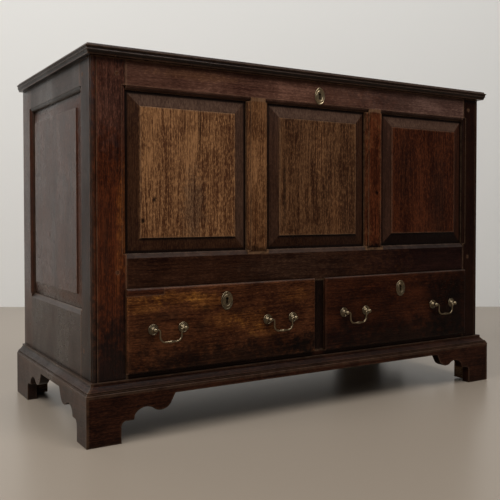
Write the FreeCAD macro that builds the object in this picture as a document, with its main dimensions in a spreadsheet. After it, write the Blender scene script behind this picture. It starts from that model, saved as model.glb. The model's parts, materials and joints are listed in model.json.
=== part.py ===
import FreeCAD, Part
import os
import re
import Sketcher
from FreeCAD import Rotation, Vector

# An oak mule chest: a joined chest with a hinged lid over two drawers, on a moulded bracket base.
# X runs along the front, Y from the front to the back and Z up from the floor, in millimetres.
# The origin is on the floor, under the middle of the whole piece.

SIZES = {
    # overall
    "case_width": 1172,          # outside of the corner posts, left to right
    "case_depth": 556,           # front face to back face of the frame
    "case_top": 820,             # underside of the closed lid above the floor
    "plinth_height": 105,        # top of the bracket boards, where the posts stand
    # front frame
    "post_left": 77,             # visible width of the left corner post
    "post_right": 61,            # visible width of the right corner post
    "post_side": 76,             # width of each post seen from the side
    "rail_thick": 28,            # thickness of every rail and muntin
    "top_rail": 65,              # height of the front top rail
    "sill_height": 402,          # bottom of the front panels above the floor
    "drawer_top": 323,           # top of the drawer openings
    "drawer_low": 144,           # bottom of the drawer openings
    "muntin_width": 59.5,        # width of the uprights between the front panels
    "divider_left": -14,         # left edge of the upright between the drawers
    "divider_width": 37,
    "sill_rise": 10,             # the splayed sill under each panel, in height
    "sill_run": 9,               # and in depth
    "ovolo": 9,                  # radius of the moulding beside and above each panel
    "ovolo_quirk": 1.2,          # step from the frame's face into the moulding
    "scribe_gap": 0.3,           # fitted end of a muntin to the moulding behind it
    "bead_size": 9,              # corner bead, quirk to corner
    "bead_quirk": 1.6,           # depth of the two quirks beside the bead
    "bead_curve": 0.72,          # radius of the bead, as a share of its width
    # side frames
    "side_top_rail": 63,
    "side_sill": 277,            # bottom of the side panels above the floor
    # back
    "back_thick": 24,            # thickness of the back rails
    "back_top_rail": 70,
    "back_low_rail": 70,
    "board_thick": 12,           # back boards and chest floor
    "back_inset": 6,             # back boards in from the back face
    "board_gap": 0.6,            # shrinkage gap between neighbouring boards
    "back_board_count": 6,
    "overcut": 1,                # how far a cut runs on past the wood
    # joints
    "groove_depth": 10,
    "groove_inset": 11,          # face of the frame to the groove
    "groove_width": 8,
    "tenon_length": 30,
    "tenon_slack": 1,            # space left at the bottom of each mortise
    "shoulder": 10,              # wood above and below each tenon
    "peg_radius": 3.5,
    "peg_slack": 0.15,
    "peg_length": 24,
    "peg_inset": 20,             # joint line to the middle of the peg
    # raised panels
    "tongue_slack": 0.2,         # play of the panel's edge in its groove, each side
    "panel_slack": 2,            # play of the panel in the depth of its groove
    "bevel_width": 33,
    "field_inset": 2.5,          # frame face to the raised field
    "field_step": 2,             # step from the field down to the bevel
    # lid
    "lid_thick": 22,
    "lid_over": 17,              # overhang at the front and the ends
    "lid_front_plank": 300,
    "lid_round": 5,              # rounded upper edge of the lid
    "lid_skim": 0.6,             # planed off the edges before moulding
    "lid_quirk": 1.4,
    "lid_quirk_low": 7,          # lid top to the quirk
    "lid_quirk_wide": 1.6,
    "lid_bead": 4.6,             # height of the bead under the quirk
    "lid_bead_radius": 2.76,
    "lid_foot": 5.5,             # lower corner set back from the edge
    "lid_sweep": 11.5,           # radius of the swept lower edge
    "batten_width": 25,
    "batten_height": 20,
    "batten_inset": 4,           # post to batten, seen from the front
    "batten_end": 62,            # front face to the end of the batten
    # hinges
    "strap_thick": 2.5,
    "strap_width": 38,
    "strap_length": 250,
    "hinge_across": 400,         # middle of the chest to each hinge
    "knuckle_radius": 5,
    "knuckle_gap": 0.3,
    "hinge_pin": 2.5,            # radius of the hinge pins
    "running_fit": 0.05,         # radial play of pins and pivots
    "seat_slack": 0.3,           # play round loose seated pieces
    # base
    "plinth_out": 21.5,          # bracket boards in front of the frame
    "plinth_thick": 24,
    "apron": 12,                 # depth of the bracket boards between the feet
    "moulding_height": 26,
    "torus_low": 3.1,            # the moulding's rounded foot, above the plinth
    "torus_high": 7.3,
    "torus_back": 1.6,           # set back from the plinth's face
    "torus_radius": 3.1,
    "fillet_high": 9.9,          # the flat between the foot and the cove
    "fillet_back": 3.6,
    "cove_high": 20.3,           # the swept upper part
    "cove_out": 6.5,             # still proud of the frame at its top
    "cove_radius": 23.4,
    "foot_front": 77,            # width of a foot at the floor, front
    "foot_side": 64,             # width of a front foot at the floor, side
    "foot_rear": 109,            # width of a rear foot at the floor, side
    "rear_bracket": 95,
    "rear_bracket_foot": 43,
    "rear_bracket_rise": 79,
    "rear_bracket_thick": 20,
    "block_size": 42,
    "block_lift": 4,
    # chest floor
    "floor_rise": 22,            # drawer opening to the underside of the floor
    "ledge_size": 24,
    "floor_board_count": 3,      # between the posts
    # drawer guides
    "runner_thick": 24,
    "runner_width": 30,
    "guide_height": 26,
    # drawers
    "drawer_play": 1.5,          # opening to the drawer, at the sides and top
    "runner_play": 0.3,
    "lip": 3,                    # how far a drawer front laps its opening
    "lip_gap": 0.3,              # back of the lip to the frame
    "drawer_proud": 10,
    "front_thick": 24,
    "front_round": 5,
    "side_thick": 10,
    "drawer_deep": 506,          # front face of the frame to the back of the drawer
    "side_drop": 8,              # drawer side below the top of the front
    "bottom_thick": 7,
    "bottom_lift": 6,
    "bottom_groove": 4,
    "tail_count": 3,
    "tail_length": 14,
    "tail_flare": 3,
    "tail_start": 0.25,          # share of the pitch below each tail's root
    "repair_width": 86,
    "repair_height": 15,
    "repair_deep": 6,
    # drawer furniture
    "hardware_shift": -5,        # left drawer's furniture off its centre
    "handle_spread_left": 149,   # drawer centre to each handle, left drawer
    "handle_spread_right": 158,
    "handle_rise": 91,           # bottom of the opening to the handle posts
    "post_spacing": 73,
    "post_reach": 14,            # drawer face to the centre of the ball
    "ball_radius": 5.5,
    "post_neck": 3.2,
    "post_foot": 4.8,            # radius of the neck where it meets the rose
    "post_shank": 2.8,
    "shank_slack": 0.2,
    "nut_size": 11,
    "nut_thick": 4,
    "rose_radius": 12,
    "rose_thick": 1.2,
    "rose_dome": 2.2,
    "rose_crown": 5.4,           # radius of the dome at its top
    "rose_shoulder": 10.2,       # and at its foot
    "bail_wire": 2,              # radius of the bail at its ends
    "bail_thin": 1.6,            # radius where the swell of the grip starts
    "bail_swell": 3.4,           # radius in the middle of the grip
    "bail_drop": 28,
    "bail_neck": 10.5,           # post to the upright of the bail
    "bail_turn": 4,              # radius of the bend under each post
    "bail_corner": 13,           # radius of the bend beside the grip
    "plate_height": 43,
    "plate_width": 31,
    "plate_thick": 1.2,
    "plate_rim": 1,
    "plate_boss": 0.62,          # size of the raised middle, as a share of the plate
    "chest_keyhole_drop": 37,    # rail top to the chest's keyhole
    "drawer_keyhole_drop": 36,   # top of the opening to a drawer's keyhole
    "keyhole_round": 3.5,
    "keyhole_slot": 4.6,
    "keyhole_length": 12,
    "keyhole_rise": 4.5,         # middle of the plate to the round of the keyhole
    # locks
    "lock_width": 90,
    "lock_height": 38,
    "lock_deep": 15,
    "lock_wall": 1.5,
    "lock_inset": 13,            # front face to the chest lock
    "lock_sink": 12,             # rail top to the chest lock
    "staple_thick": 4,
    "staple_width": 9,
    "staple_drop": 34,
    "staple_eye": 4,
    "staple_plate": 30,
    "bolt_throw": 10,
    "bolt_thick": 3,
    "bolt_height": 6,
    "bolt_length": 26,
    "bolt_guide": 0.15,          # play of the bolt in its guide
    "bolt_clear": 2,             # bolt's tip to the staple
    "eye_drop": 7.8,             # top of the lock to the middle of the staple's eye
    "drawer_lock_width": 60,
    "drawer_lock_deep": 12,
    "drawer_bolt": 20,
    "drawer_bolt_thick": 5,
    "drawer_bolt_height": 26,
}

# Places that follow from the sizes.
PLACES = {
    "half": "case_width / 2",
    "rear_post": "post_right",
    "front": "(drawer_proud + post_reach + ball_radius - hinge_reach - case_depth) / 2",
    "back": "front + case_depth",
    "hinge_reach": "2 * knuckle_radius + knuckle_gap",
    "left_post": "-half + post_left",
    "right_post": "half - post_right",
    "panel_width": "(right_post - left_post - 2 * muntin_width) / 3",
    "muntin_a": "left_post + panel_width",
    "muntin_b": "right_post - panel_width - muntin_width",
    "centre": "(left_post + right_post) / 2",
    "panel_top": "case_top - top_rail",
    "rail_back": "front + rail_thick",
    "side_front": "front + post_side",
    "side_back": "back - post_side",
    "side_middle": "(side_front + side_back) / 2",
    "side_panel_top": "case_top - side_top_rail",
    "groove_near": "front + groove_inset",
    "groove_far": "front + groove_inset + groove_width",
    "back_inner": "back - back_thick",
    "lid_top": "case_top + lid_thick",
    "lid_front": "front - lid_over",
    "lid_end": "half + lid_over",
    "lid_joint": "lid_front + lid_front_plank",
    "hinge_y": "back + knuckle_gap + knuckle_radius",
    "hinge_z": "case_top - strap_thick / 2",
    "plinth_front": "front - plinth_out",
    "plinth_end": "half + plinth_out",
    "plinth_inner": "plinth_end - plinth_thick",
    "apron_low": "plinth_height - apron",
    "divider_right": "divider_left + divider_width",
    "drawer_face": "front - drawer_proud",
    "drawer_inner": "drawer_face + front_thick",
    "drawer_base": "drawer_low + runner_play",
    "drawer_head": "drawer_top - drawer_play",
    "side_head": "drawer_head - side_drop",
    "drawer_end": "front + drawer_deep",
    "bottom_low": "drawer_base + bottom_lift",
    "bottom_high": "bottom_low + bottom_thick",
    "bail_y": "drawer_face - post_reach",
    "floor_height": "drawer_top + floor_rise",
    "floor_top": "floor_height + board_thick",
    "handle_height": "drawer_low + handle_rise",
    "chest_keyhole": "case_top - chest_keyhole_drop",
    "drawer_keyhole": "drawer_top - drawer_keyhole_drop",
    "lock_left": "centre - lock_width / 2",
    "lock_right": "centre + lock_width / 2",
    "lock_front": "front + lock_inset",
    "lock_back": "lock_front + lock_deep",
    "lock_high": "case_top - lock_sink",
    "lock_low": "lock_high - lock_height",
    "staple_y": "(lock_front + lock_back) / 2",
    "eye_z": "lock_high - eye_drop",
}

doc = FreeCAD.newDocument("mule_chest")
sheet = doc.addObject("Spreadsheet::Sheet", "Sizes")
for row, (alias, size) in enumerate(SIZES.items(), start=1):
    sheet.set(f"A{row}", alias)
    sheet.set(f"B{row}", str(size))
    sheet.setAlias(f"B{row}", alias)
doc.recompute()

WORD = re.compile(r"[A-Za-z_]\w*")
TOUCHING = 1e-6                  # closer than this, two places are one
nodes = {}


def formula(text):
    """The sheet's own expression for a formula written in the plain names above."""
    def swap(match):
        word = match.group(0)
        if word in PLACES:
            return "(" + formula(PLACES[word]) + ")"
        return "Sizes." + word if word in SIZES else word
    return WORD.sub(swap, str(text))


def number(text):
    """The present value of a formula."""
    return float(sheet.evalExpression(formula(text)))


def node(name, shape):
    """Marks a finished sub-part; its label names its file."""
    shape.Label = name
    nodes[name] = shape
    return shape


# ---------------------------------------------------------------- sketches and bodies

ACROSS = {"XY_Plane": "z", "XZ_Plane": "y", "YZ_Plane": "x"}


def rectangle(low_u, high_u, low_v, high_v):
    return [(low_u, low_v), (high_u, low_v), (high_u, high_v), (low_u, high_v)]


def arc_middle(start, end, radius, side):
    """The middle of the shorter arc from start to end, bulging to the left (1) or right (-1)."""
    chord = end - start
    across = Vector(-chord.y, chord.x, 0).normalize() * side
    rise = radius - max(radius ** 2 - chord.Length ** 2 / 4, 0) ** 0.5
    return (start + end) * 0.5 + across * rise


def draw(sketch, outline, closed=True):
    """An outline or an open route. A corner is (u, v), or (u, v, radius, side) after an arc."""
    points = [Vector(number(corner[0]), number(corner[1]), 0) for corner in outline]
    first = 0 if closed else 1
    edges = []
    for index in range(first, len(outline)):
        start, end = points[index - 1], points[index]
        if len(outline[index]) == 2:
            edges.append(Part.LineSegment(start, end))
        else:
            radius, side = outline[index][2:]
            edges.append(Part.Arc(start, arc_middle(start, end, number(radius), side), end))
    sketch.addGeometry(edges, False)
    rules, bound = [], []

    def hold(edge, end, corner):
        for kind, place, text in zip(("DistanceX", "DistanceY"), points[corner], outline[corner]):
            bound.append((len(rules), text))
            rules.append(Sketcher.Constraint(kind, -1, 1, edge, end, place))

    ends = []
    for edge in range(len(edges)):
        forward = sketch.getPoint(edge, 1).distanceToPoint(points[edge + first - 1]) < TOUCHING
        ends.append((1, 2) if forward else (2, 1))
    for edge, (start, end) in enumerate(ends):
        if closed or edge:
            before = (edge - 1) % len(edges)
            rules.append(Sketcher.Constraint("Coincident", before, ends[before][1], edge, start))
        else:
            hold(edge, start, 0)
        hold(edge, end, edge + first)
        if len(outline[edge + first]) == 4:
            radius = outline[edge + first][2]
            bound.append((len(rules), radius))
            rules.append(Sketcher.Constraint("Radius", edge, number(radius)))
    sketch.addConstraint(rules)
    for rule, text in bound:
        sketch.setExpression(f"Constraints[{rule}]", formula(text))


def empty_sketch(body, plane, place):
    """A sketch on one of the body's own origin planes, moved along its normal."""
    sketch = body.newObject("Sketcher::SketchObject", "Outline")
    origin = next(item for item in body.Origin.OriginFeatures if item.Role == plane)
    sketch.AttachmentSupport = [(origin, "")]
    sketch.MapMode = "FlatFace"
    sign = "-" if plane == "XZ_Plane" else ""
    sketch.setExpression("AttachmentOffset.Base.z", formula(f"{sign}({place})"))
    return sketch


def sketch_at(body, plane, place, outline):
    sketch = empty_sketch(body, plane, place)
    draw(sketch, outline)
    return sketch


def new_body(name):
    return doc.addObject("PartDesign::Body", name)


def pad(body, plane, outline, low, high):
    """Adds the outline between two places on the axis across its plane."""
    start = high if plane == "XZ_Plane" else low
    feature = body.newObject("PartDesign::Pad", "Pad")
    feature.Profile = sketch_at(body, plane, start, outline)
    feature.setExpression("Length", formula(f"({high}) - ({low})"))
    body.Tip = feature
    return body


def pocket(body, plane, outline, low, high):
    """Removes the outline between two places on the axis across its plane."""
    start = low if plane == "XZ_Plane" else high
    feature = body.newObject("PartDesign::Pocket", "Pocket")
    feature.Profile = sketch_at(body, plane, start, outline)
    feature.setExpression("Length", formula(f"({high}) - ({low})"))
    body.Tip = feature
    return body


def plank(name, x, y, z):
    """A square-edged piece of wood between two places on each axis."""
    return pad(new_body(name), "XY_Plane", rectangle(*x, *y), *z)


def hollow(body, x, y, z):
    """A square-cornered recess in a body."""
    return pocket(body, "XY_Plane", rectangle(*x, *y), *z)


# ---------------------------------------------------------------- primitives

def block(name, x, y, z):
    box = doc.addObject("Part::Box", name)
    for axis, side, (low, high) in zip("xyz", ("Length", "Width", "Height"), (x, y, z)):
        box.setExpression(side, formula(f"({high}) - ({low})"))
        box.setExpression(f"Placement.Base.{axis}", formula(low))
    return box


TURNS = {
    "x": Rotation(Vector(0, 1, 0), 90),
    "y": Rotation(Vector(1, 0, 0), -90),
    "z": Rotation(),
}


def place_at(item, x, y, z):
    for axis, text in zip("xyz", (x, y, z)):
        item.setExpression(f"Placement.Base.{axis}", formula(text))
    return item


def rod(name, axis, radius, x, y, z, length):
    """A cylinder along +axis from the centre of its first end."""
    item = doc.addObject("Part::Cylinder", name)
    item.Placement.Rotation = TURNS[axis]
    item.setExpression("Radius", formula(radius))
    item.setExpression("Height", formula(length))
    return place_at(item, x, y, z)


def cone(name, axis, first, last, x, y, z, length):
    item = doc.addObject("Part::Cone", name)
    item.Placement.Rotation = TURNS[axis]
    item.setExpression("Radius1", formula(first))
    item.setExpression("Radius2", formula(last))
    item.setExpression("Height", formula(length))
    return place_at(item, x, y, z)


def ball(name, radius, x, y, z):
    item = doc.addObject("Part::Sphere", name)
    item.setExpression("Radius", formula(radius))
    return place_at(item, x, y, z)


def fuse(name, *shapes):
    item = doc.addObject("Part::MultiFuse", name)
    item.Shapes = list(shapes)
    return item


def cut(name, base, *tools):
    item = doc.addObject("Part::Cut", name)
    item.Base = base
    item.Tool = tools[0] if len(tools) == 1 else fuse(name + "_tool", *tools)
    return item


def group(name, *shapes):
    """Separate solids that share one node."""
    item = doc.addObject("Part::Compound", name)
    item.Links = list(shapes)
    return item


def mirrored(shape):
    """The same piece made for the other side of the chest."""
    item = doc.addObject("Part::Mirroring", shape.Name + "_right")
    item.Source = shape
    item.Normal = Vector(1, 0, 0)
    return item


def pair(name, shape):
    return node(name, group(name, shape, mirrored(shape)))


# ---------------------------------------------------------------- joints of the frame

GROOVE = ("groove_near", "groove_far")


def rail_z(low, high):
    """The height of the tenon on a rail between two heights."""
    return (f"{low} + shoulder", f"{high} - shoulder")


FRONT_RAILS = {
    "top": ("panel_top", "case_top"),
    "middle": ("drawer_top", "sill_height"),
    "bottom": ("plinth_height", "drawer_low"),
}
SIDE_RAILS = {
    "top": ("side_panel_top", "case_top"),
    "bottom": ("plinth_height", "side_sill"),
}
BACK_RAILS = {
    "top": ("case_top - back_top_rail", "case_top"),
    "bottom": ("plinth_height", "plinth_height + back_low_rail"),
}
BACK_TENON = ("back - groove_inset - groove_width", "back - groove_inset")
SIDE_GROOVE = ("-half + groove_inset", "-half + groove_inset + groove_width")
DEEP = "(tenon_length + tenon_slack)"


def middle_of(heights):
    return f"({heights[0]} + {heights[1]}) / 2"


def peg_hole(name, axis, x, y, z):
    return rod(name, axis, "peg_radius + peg_slack", x, y, z, "peg_length + peg_slack")


def front_pegs(side):
    """Where the pegs of the front rails enter one corner post."""
    inset = "left_post - peg_inset" if side == "left" else "right_post + peg_inset"
    return [(inset, "front", middle_of(heights)) for heights in FRONT_RAILS.values()]


def side_pegs():
    """Where the pegs of the side rails enter the left-hand posts."""
    ends = ("side_front - peg_inset", "side_back + peg_inset")
    return [("-half", y, middle_of(heights)) for y in ends for heights in SIDE_RAILS.values()]


def panel_edge(body, width, depth, swapped, z):
    """Moulds the edge of a post beside a panel; width and depth are (place, sign) into the wood."""
    def at(across, deep):
        u = f"{width[0]} {width[1]} ({across})"
        v = f"{depth[0]} {depth[1]} ({deep})"
        return (v, u) if swapped else (u, v)
    flips = (width[1] == "-") + (depth[1] == "-") + swapped
    reach = "ovolo_quirk + ovolo"
    outline = [
        at("ovolo", "-overcut"),
        at("-overcut", "-overcut"),
        at("-overcut", reach),
        at("0", reach),
        (*at("ovolo", "ovolo_quirk"), "ovolo", 1 if flips % 2 else -1),
    ]
    return pocket(body, "XY_Plane", outline, *z)


def corner_post(side):
    """A front corner post with its bead, grooves, mortises and peg holes."""
    sign = "-" if side == "left" else ""
    out = "-" if side == "right" else ""
    name = f"corner_post_front_{side}"
    inner = f"{side}_post"
    edge = f"{sign}half"
    bead = f"({edge} {'+' if side == 'left' else '-'} bead_size)"
    quirk_x = f"({edge} {'+' if side == 'left' else '-'} bead_quirk)"
    past = f"({bead} {'+' if side == 'left' else '-'} bead_quirk)"
    turn = 1 if side == "right" else -1
    outline = [
        (edge, "side_front"),
        (edge, "front + bead_size + bead_quirk"),
        (quirk_x, "front + bead_size + bead_quirk"),
        (quirk_x, "front + bead_size"),
        (bead, "front + bead_quirk", "(bead_size - bead_quirk) * bead_curve", turn),
        (past, "front + bead_quirk"),
        (past, "front"),
        (inner, "front"),
        (inner, "side_front"),
    ]
    body = pad(new_body(name), "XY_Plane", outline, "plinth_height", "case_top")
    into = "-" if side == "left" else "+"
    panel_edge(body, (inner, into), ("front", "+"), False, ("sill_height", "panel_top + ovolo"))
    panel_edge(body, ("side_front", "-"), (edge, "+" if side == "left" else "-"), True,
               ("side_sill", "side_panel_top + ovolo"))
    groove_x = (f"{inner} {into} groove_depth", inner)
    mortise_x = (f"{inner} {into} {DEEP}", inner)
    hollow(body, groove_x, GROOVE, ("sill_height - groove_depth", "panel_top + groove_depth"))
    for heights in FRONT_RAILS.values():
        hollow(body, mortise_x, GROOVE, rail_z(*heights))
    side_x = tuple(f"{out}({text})" for text in SIDE_GROOVE)
    groove_y = ("side_front - groove_depth", "side_front")
    hollow(body, side_x, groove_y, ("side_sill - groove_depth", "side_panel_top + groove_depth"))
    for heights in SIDE_RAILS.values():
        hollow(body, side_x, (f"side_front - {DEEP}", "side_front"), rail_z(*heights))
    holes = [peg_hole(f"{name}_peg", "y", *place) for place in front_pegs(side)]
    for x, y, z in side_pegs()[:2]:
        start = x if side == "left" else "half - peg_length - peg_slack"
        holes.append(peg_hole(f"{name}_side_peg", "x", start, y, z))
    return node(name, cut(name + "_drilled", body, *holes))


def rear_posts():
    """The two rear posts, grooved for the side panels and the back boards."""
    body = plank("rear_post_left", ("-half", "-half + rear_post"), ("side_back", "back"),
                 ("plinth_height", "case_top"))
    panel_edge(body, ("side_back", "+"), ("-half", "+"), True, ("side_sill", "side_panel_top + ovolo"))
    groove_y = ("side_back", "side_back + groove_depth")
    hollow(body, SIDE_GROOVE, groove_y, ("side_sill - groove_depth", "side_panel_top + groove_depth"))
    for heights in SIDE_RAILS.values():
        hollow(body, SIDE_GROOVE, ("side_back", f"side_back + {DEEP}"), rail_z(*heights))
    inner = "-half + rear_post"
    boards_z = ("plinth_height + back_low_rail - groove_depth",
                "case_top - back_top_rail + groove_depth")
    hollow(body, (f"{inner} - groove_depth", inner),
           ("back - back_inset - board_thick", "back - back_inset"), boards_z)
    for heights in BACK_RAILS.values():
        hollow(body, (f"{inner} - {DEEP}", inner), BACK_TENON, rail_z(*heights))
    holes = [peg_hole("rear_side_peg", "x", *place) for place in side_pegs()[2:]]
    return pair("corner_posts_rear", cut("rear_post_drilled", body, *holes))


# ---------------------------------------------------------------- front frame

def front_rail(name, heights, section):
    """A front rail: its moulded section run between the posts, with a pegged tenon at each end."""
    body = pad(new_body(name), "YZ_Plane", section, "left_post", "right_post")
    tenon = ("left_post - tenon_length", "right_post + tenon_length")
    pad(body, "XY_Plane", rectangle(*tenon, *GROOVE), *rail_z(*heights))
    return body


def muntin_mortises(body, z):
    for low in ("muntin_a", "muntin_b"):
        hollow(body, (f"{low} + shoulder", f"{low} + muntin_width - shoulder"), GROOVE, z)


def peg_rail(name, body, heights):
    """Drills the two tenons of a front rail for their pegs."""
    holes = []
    for side in ("left", "right"):
        x = "left_post - peg_inset" if side == "left" else "right_post + peg_inset"
        holes.append(peg_hole(f"{name}_peg", "y", x, "front", middle_of(heights)))
    return cut(name + "_drilled", body, *holes)


def keyhole(name, x, z, low, high):
    """The cutting shape of a keyhole through everything between two depths."""
    eye = f"{z} + keyhole_rise"
    round_part = rod(f"{name}_round", "y", "keyhole_round", x, low, eye, f"({high}) - ({low})")
    slot = block(f"{name}_slot", (f"{x} - keyhole_slot / 2", f"{x} + keyhole_slot / 2"),
                 (low, high), (f"{eye} - keyhole_length", eye))
    return fuse(name, round_part, slot)


def front_top_rail():
    heights = FRONT_RAILS["top"]
    section = [
        ("front", "case_top"),
        ("front", "panel_top + ovolo"),
        ("front + ovolo_quirk", "panel_top + ovolo"),
        ("front + ovolo_quirk + ovolo", "panel_top", "ovolo", -1),
        ("groove_near", "panel_top"),
        ("groove_near", "panel_top + groove_depth"),
        ("groove_far", "panel_top + groove_depth"),
        ("groove_far", "panel_top"),
        ("rail_back", "panel_top"),
        ("rail_back", "case_top"),
    ]
    body = front_rail("top_rail", heights, section)
    muntin_mortises(body, ("panel_top", f"panel_top + {DEEP}"))
    hollow(body, ("lock_left - seat_slack", "lock_right + seat_slack"),
           ("lock_front - seat_slack", "rail_back"), ("lock_low - seat_slack", "lock_high + seat_slack"))
    reach = "(staple_width / 2 + lock_wall)"
    hollow(body, ("centre - staple_thick", "centre + staple_thick"),
           (f"staple_y - {reach}", f"staple_y + {reach}"), ("lock_high", "case_top"))
    hole = keyhole("chest_keyhole", "centre", "chest_keyhole", "front - plate_thick * 3", "lock_back")
    return node("front_top_rail", cut("top_rail_keyed", peg_rail("top_rail", body, heights), hole))


def front_middle_rail():
    heights = FRONT_RAILS["middle"]
    section = [
        ("front", "drawer_top"),
        ("rail_back", "drawer_top"),
        ("rail_back", "floor_height - board_gap"),
        ("rail_back - groove_width", "floor_height - board_gap"),
        ("rail_back - groove_width", "floor_top + board_gap"),
        ("rail_back", "floor_top + board_gap"),
        ("rail_back", "sill_height"),
        ("groove_far", "sill_height"),
        ("groove_far", "sill_height - groove_depth"),
        ("groove_near", "sill_height - groove_depth"),
        ("groove_near", "sill_height"),
        ("front + sill_run", "sill_height"),
        ("front", "sill_height - sill_rise"),
    ]
    body = front_rail("middle_rail", heights, section)
    muntin_mortises(body, (f"sill_height - {DEEP}", "sill_height"))
    hollow(body, ("divider_left + shoulder", "divider_right - shoulder"), GROOVE,
           ("drawer_top", "drawer_top + tenon_length / 2 + tenon_slack"))
    for low, high, shift, _ in DRAWERS.values():
        x = drawer_centre(low, high, shift)
        wide = "(drawer_bolt / 2 + seat_slack * 3)"
        near = "drawer_inner - lock_wall - drawer_bolt_thick"
        hollow(body, (f"{x} - {wide}", f"{x} + {wide}"),
               (f"{near} - seat_slack * 6", f"{near} + drawer_bolt_thick + seat_slack * 4"),
               ("drawer_top", "drawer_top + bolt_throw + drawer_play"))
    return node("front_middle_rail", peg_rail("middle_rail", body, heights))


def front_bottom_rail():
    heights = FRONT_RAILS["bottom"]
    section = rectangle("front", "rail_back", *heights)
    body = front_rail("bottom_rail", heights, section)
    hollow(body, ("divider_left + shoulder", "divider_right - shoulder"), GROOVE,
           ("drawer_low - tenon_length / 2 - tenon_slack", "drawer_low"))
    return node("front_bottom_rail", peg_rail("bottom_rail", body, heights))


def front_muntins():
    """The two uprights between the panels, moulded and grooved on both edges."""
    bodies = []
    for low in ("muntin_a", "muntin_b"):
        high = f"({low} + muntin_width)"
        section = [
            (f"{low} + ovolo", "front + ovolo_quirk", "ovolo", -1),
            (f"{low} + ovolo", "front"),
            (f"{high} - ovolo", "front"),
            (f"{high} - ovolo", "front + ovolo_quirk"),
            (high, "front + ovolo_quirk + ovolo", "ovolo", -1),
            (high, "groove_near"),
            (f"{high} - groove_depth", "groove_near"),
            (f"{high} - groove_depth", "groove_far"),
            (high, "groove_far"),
            (high, "rail_back"),
            (low, "rail_back"),
            (low, "groove_far"),
            (f"{low} + groove_depth", "groove_far"),
            (f"{low} + groove_depth", "groove_near"),
            (low, "groove_near"),
            (low, "front + ovolo_quirk + ovolo"),
        ]
        body = pad(new_body("muntin"), "XY_Plane", section, "sill_height", "panel_top")
        tenon = rectangle(f"{low} + shoulder", f"{high} - shoulder", *GROOVE)
        pad(body, "XY_Plane", tenon, "sill_height - tenon_length", "panel_top + tenon_length")
        sill = [
            ("front", "sill_height - sill_rise"),
            ("front + sill_run", "sill_height"),
            ("front", "sill_height"),
        ]
        pad(body, "YZ_Plane", sill, low, high)
        scribe = [
            ("front", "panel_top - scribe_gap"),
            ("front", "panel_top + ovolo"),
            ("front + ovolo_quirk - scribe_gap", "panel_top + ovolo"),
            ("front + ovolo_quirk + ovolo", "panel_top - scribe_gap", "ovolo + scribe_gap", -1),
        ]
        pad(body, "YZ_Plane", scribe, f"{low} + ovolo", f"{high} - ovolo")
        bodies.append(body)
    return node("front_muntins", group("muntins", *bodies))


def drawer_divider():
    body = plank("divider", ("divider_left", "divider_right"), ("front", "rail_back"),
                 ("drawer_low", "drawer_top"))
    tenon = rectangle("divider_left + shoulder", "divider_right - shoulder", *GROOVE)
    pad(body, "XY_Plane", tenon, "drawer_low - tenon_length / 2", "drawer_top + tenon_length / 2")
    return node("drawer_divider", body)


def raised_panel(name, width, low, high, turned=False):
    """A fielded panel about its own middle, facing -Y, with its face plane at y = 0."""
    edge = "groove_depth - panel_slack"
    tongue_y = ("groove_inset + tongue_slack", "groove_inset + groove_width - tongue_slack")
    wide = f"({width}) / 2"
    tongue = block(f"{name}_tongue", (f"-{wide} - ({edge})", f"{wide} + {edge}"), tongue_y,
                   (f"{low} - ({edge})", f"{high} + {edge}"))
    bevel = doc.addObject("Part::Wedge", f"{name}_bevel")
    sides = {
        "Xmin": f"bevel_width - {wide}", "Xmax": f"{wide} - bevel_width",
        "Zmin": f"{low} + bevel_width", "Zmax": f"{high} - bevel_width",
        "X2min": f"-{wide}", "X2max": wide, "Z2min": low, "Z2max": high,
        "Ymin": "field_inset + field_step", "Ymax": tongue_y[0],
    }
    for side, text in sides.items():
        bevel.setExpression(side, formula(text))
    field = block(f"{name}_field", (sides["Xmin"], sides["Xmax"]), ("field_inset", tongue_y[1]),
                  (sides["Zmin"], sides["Zmax"]))
    panel = fuse(f"{name}_board", tongue, bevel, field)
    if turned:
        panel.Placement.Rotation = Rotation(Vector(0, 0, 1), -90)
    return panel


def front_panels():
    starts = {"left": "left_post", "centre": "muntin_a + muntin_width",
              "right": "muntin_b + muntin_width"}
    for side, start in starts.items():
        panel = raised_panel(f"front_{side}", "panel_width", "sill_height", "panel_top")
        place_at(panel, f"{start} + panel_width / 2", "front", "0")
        node(f"front_panel_{side}", panel)


# ---------------------------------------------------------------- sides and back

def side_rail(name, section, heights):
    """A left side rail with a tenon at each end; the right one is its mirror image."""
    body = pad(new_body(name), "XZ_Plane", section, "side_front", "side_back")
    tenon_y = ("side_front - tenon_length", "side_back + tenon_length")
    pad(body, "XY_Plane", rectangle(*SIDE_GROOVE, *tenon_y), *rail_z(*heights))
    z = middle_of(heights)
    holes = [peg_hole(f"{name}_peg", "x", *place) for place in side_pegs() if place[2] == z]
    return cut(name + "_drilled", body, *holes)


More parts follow.
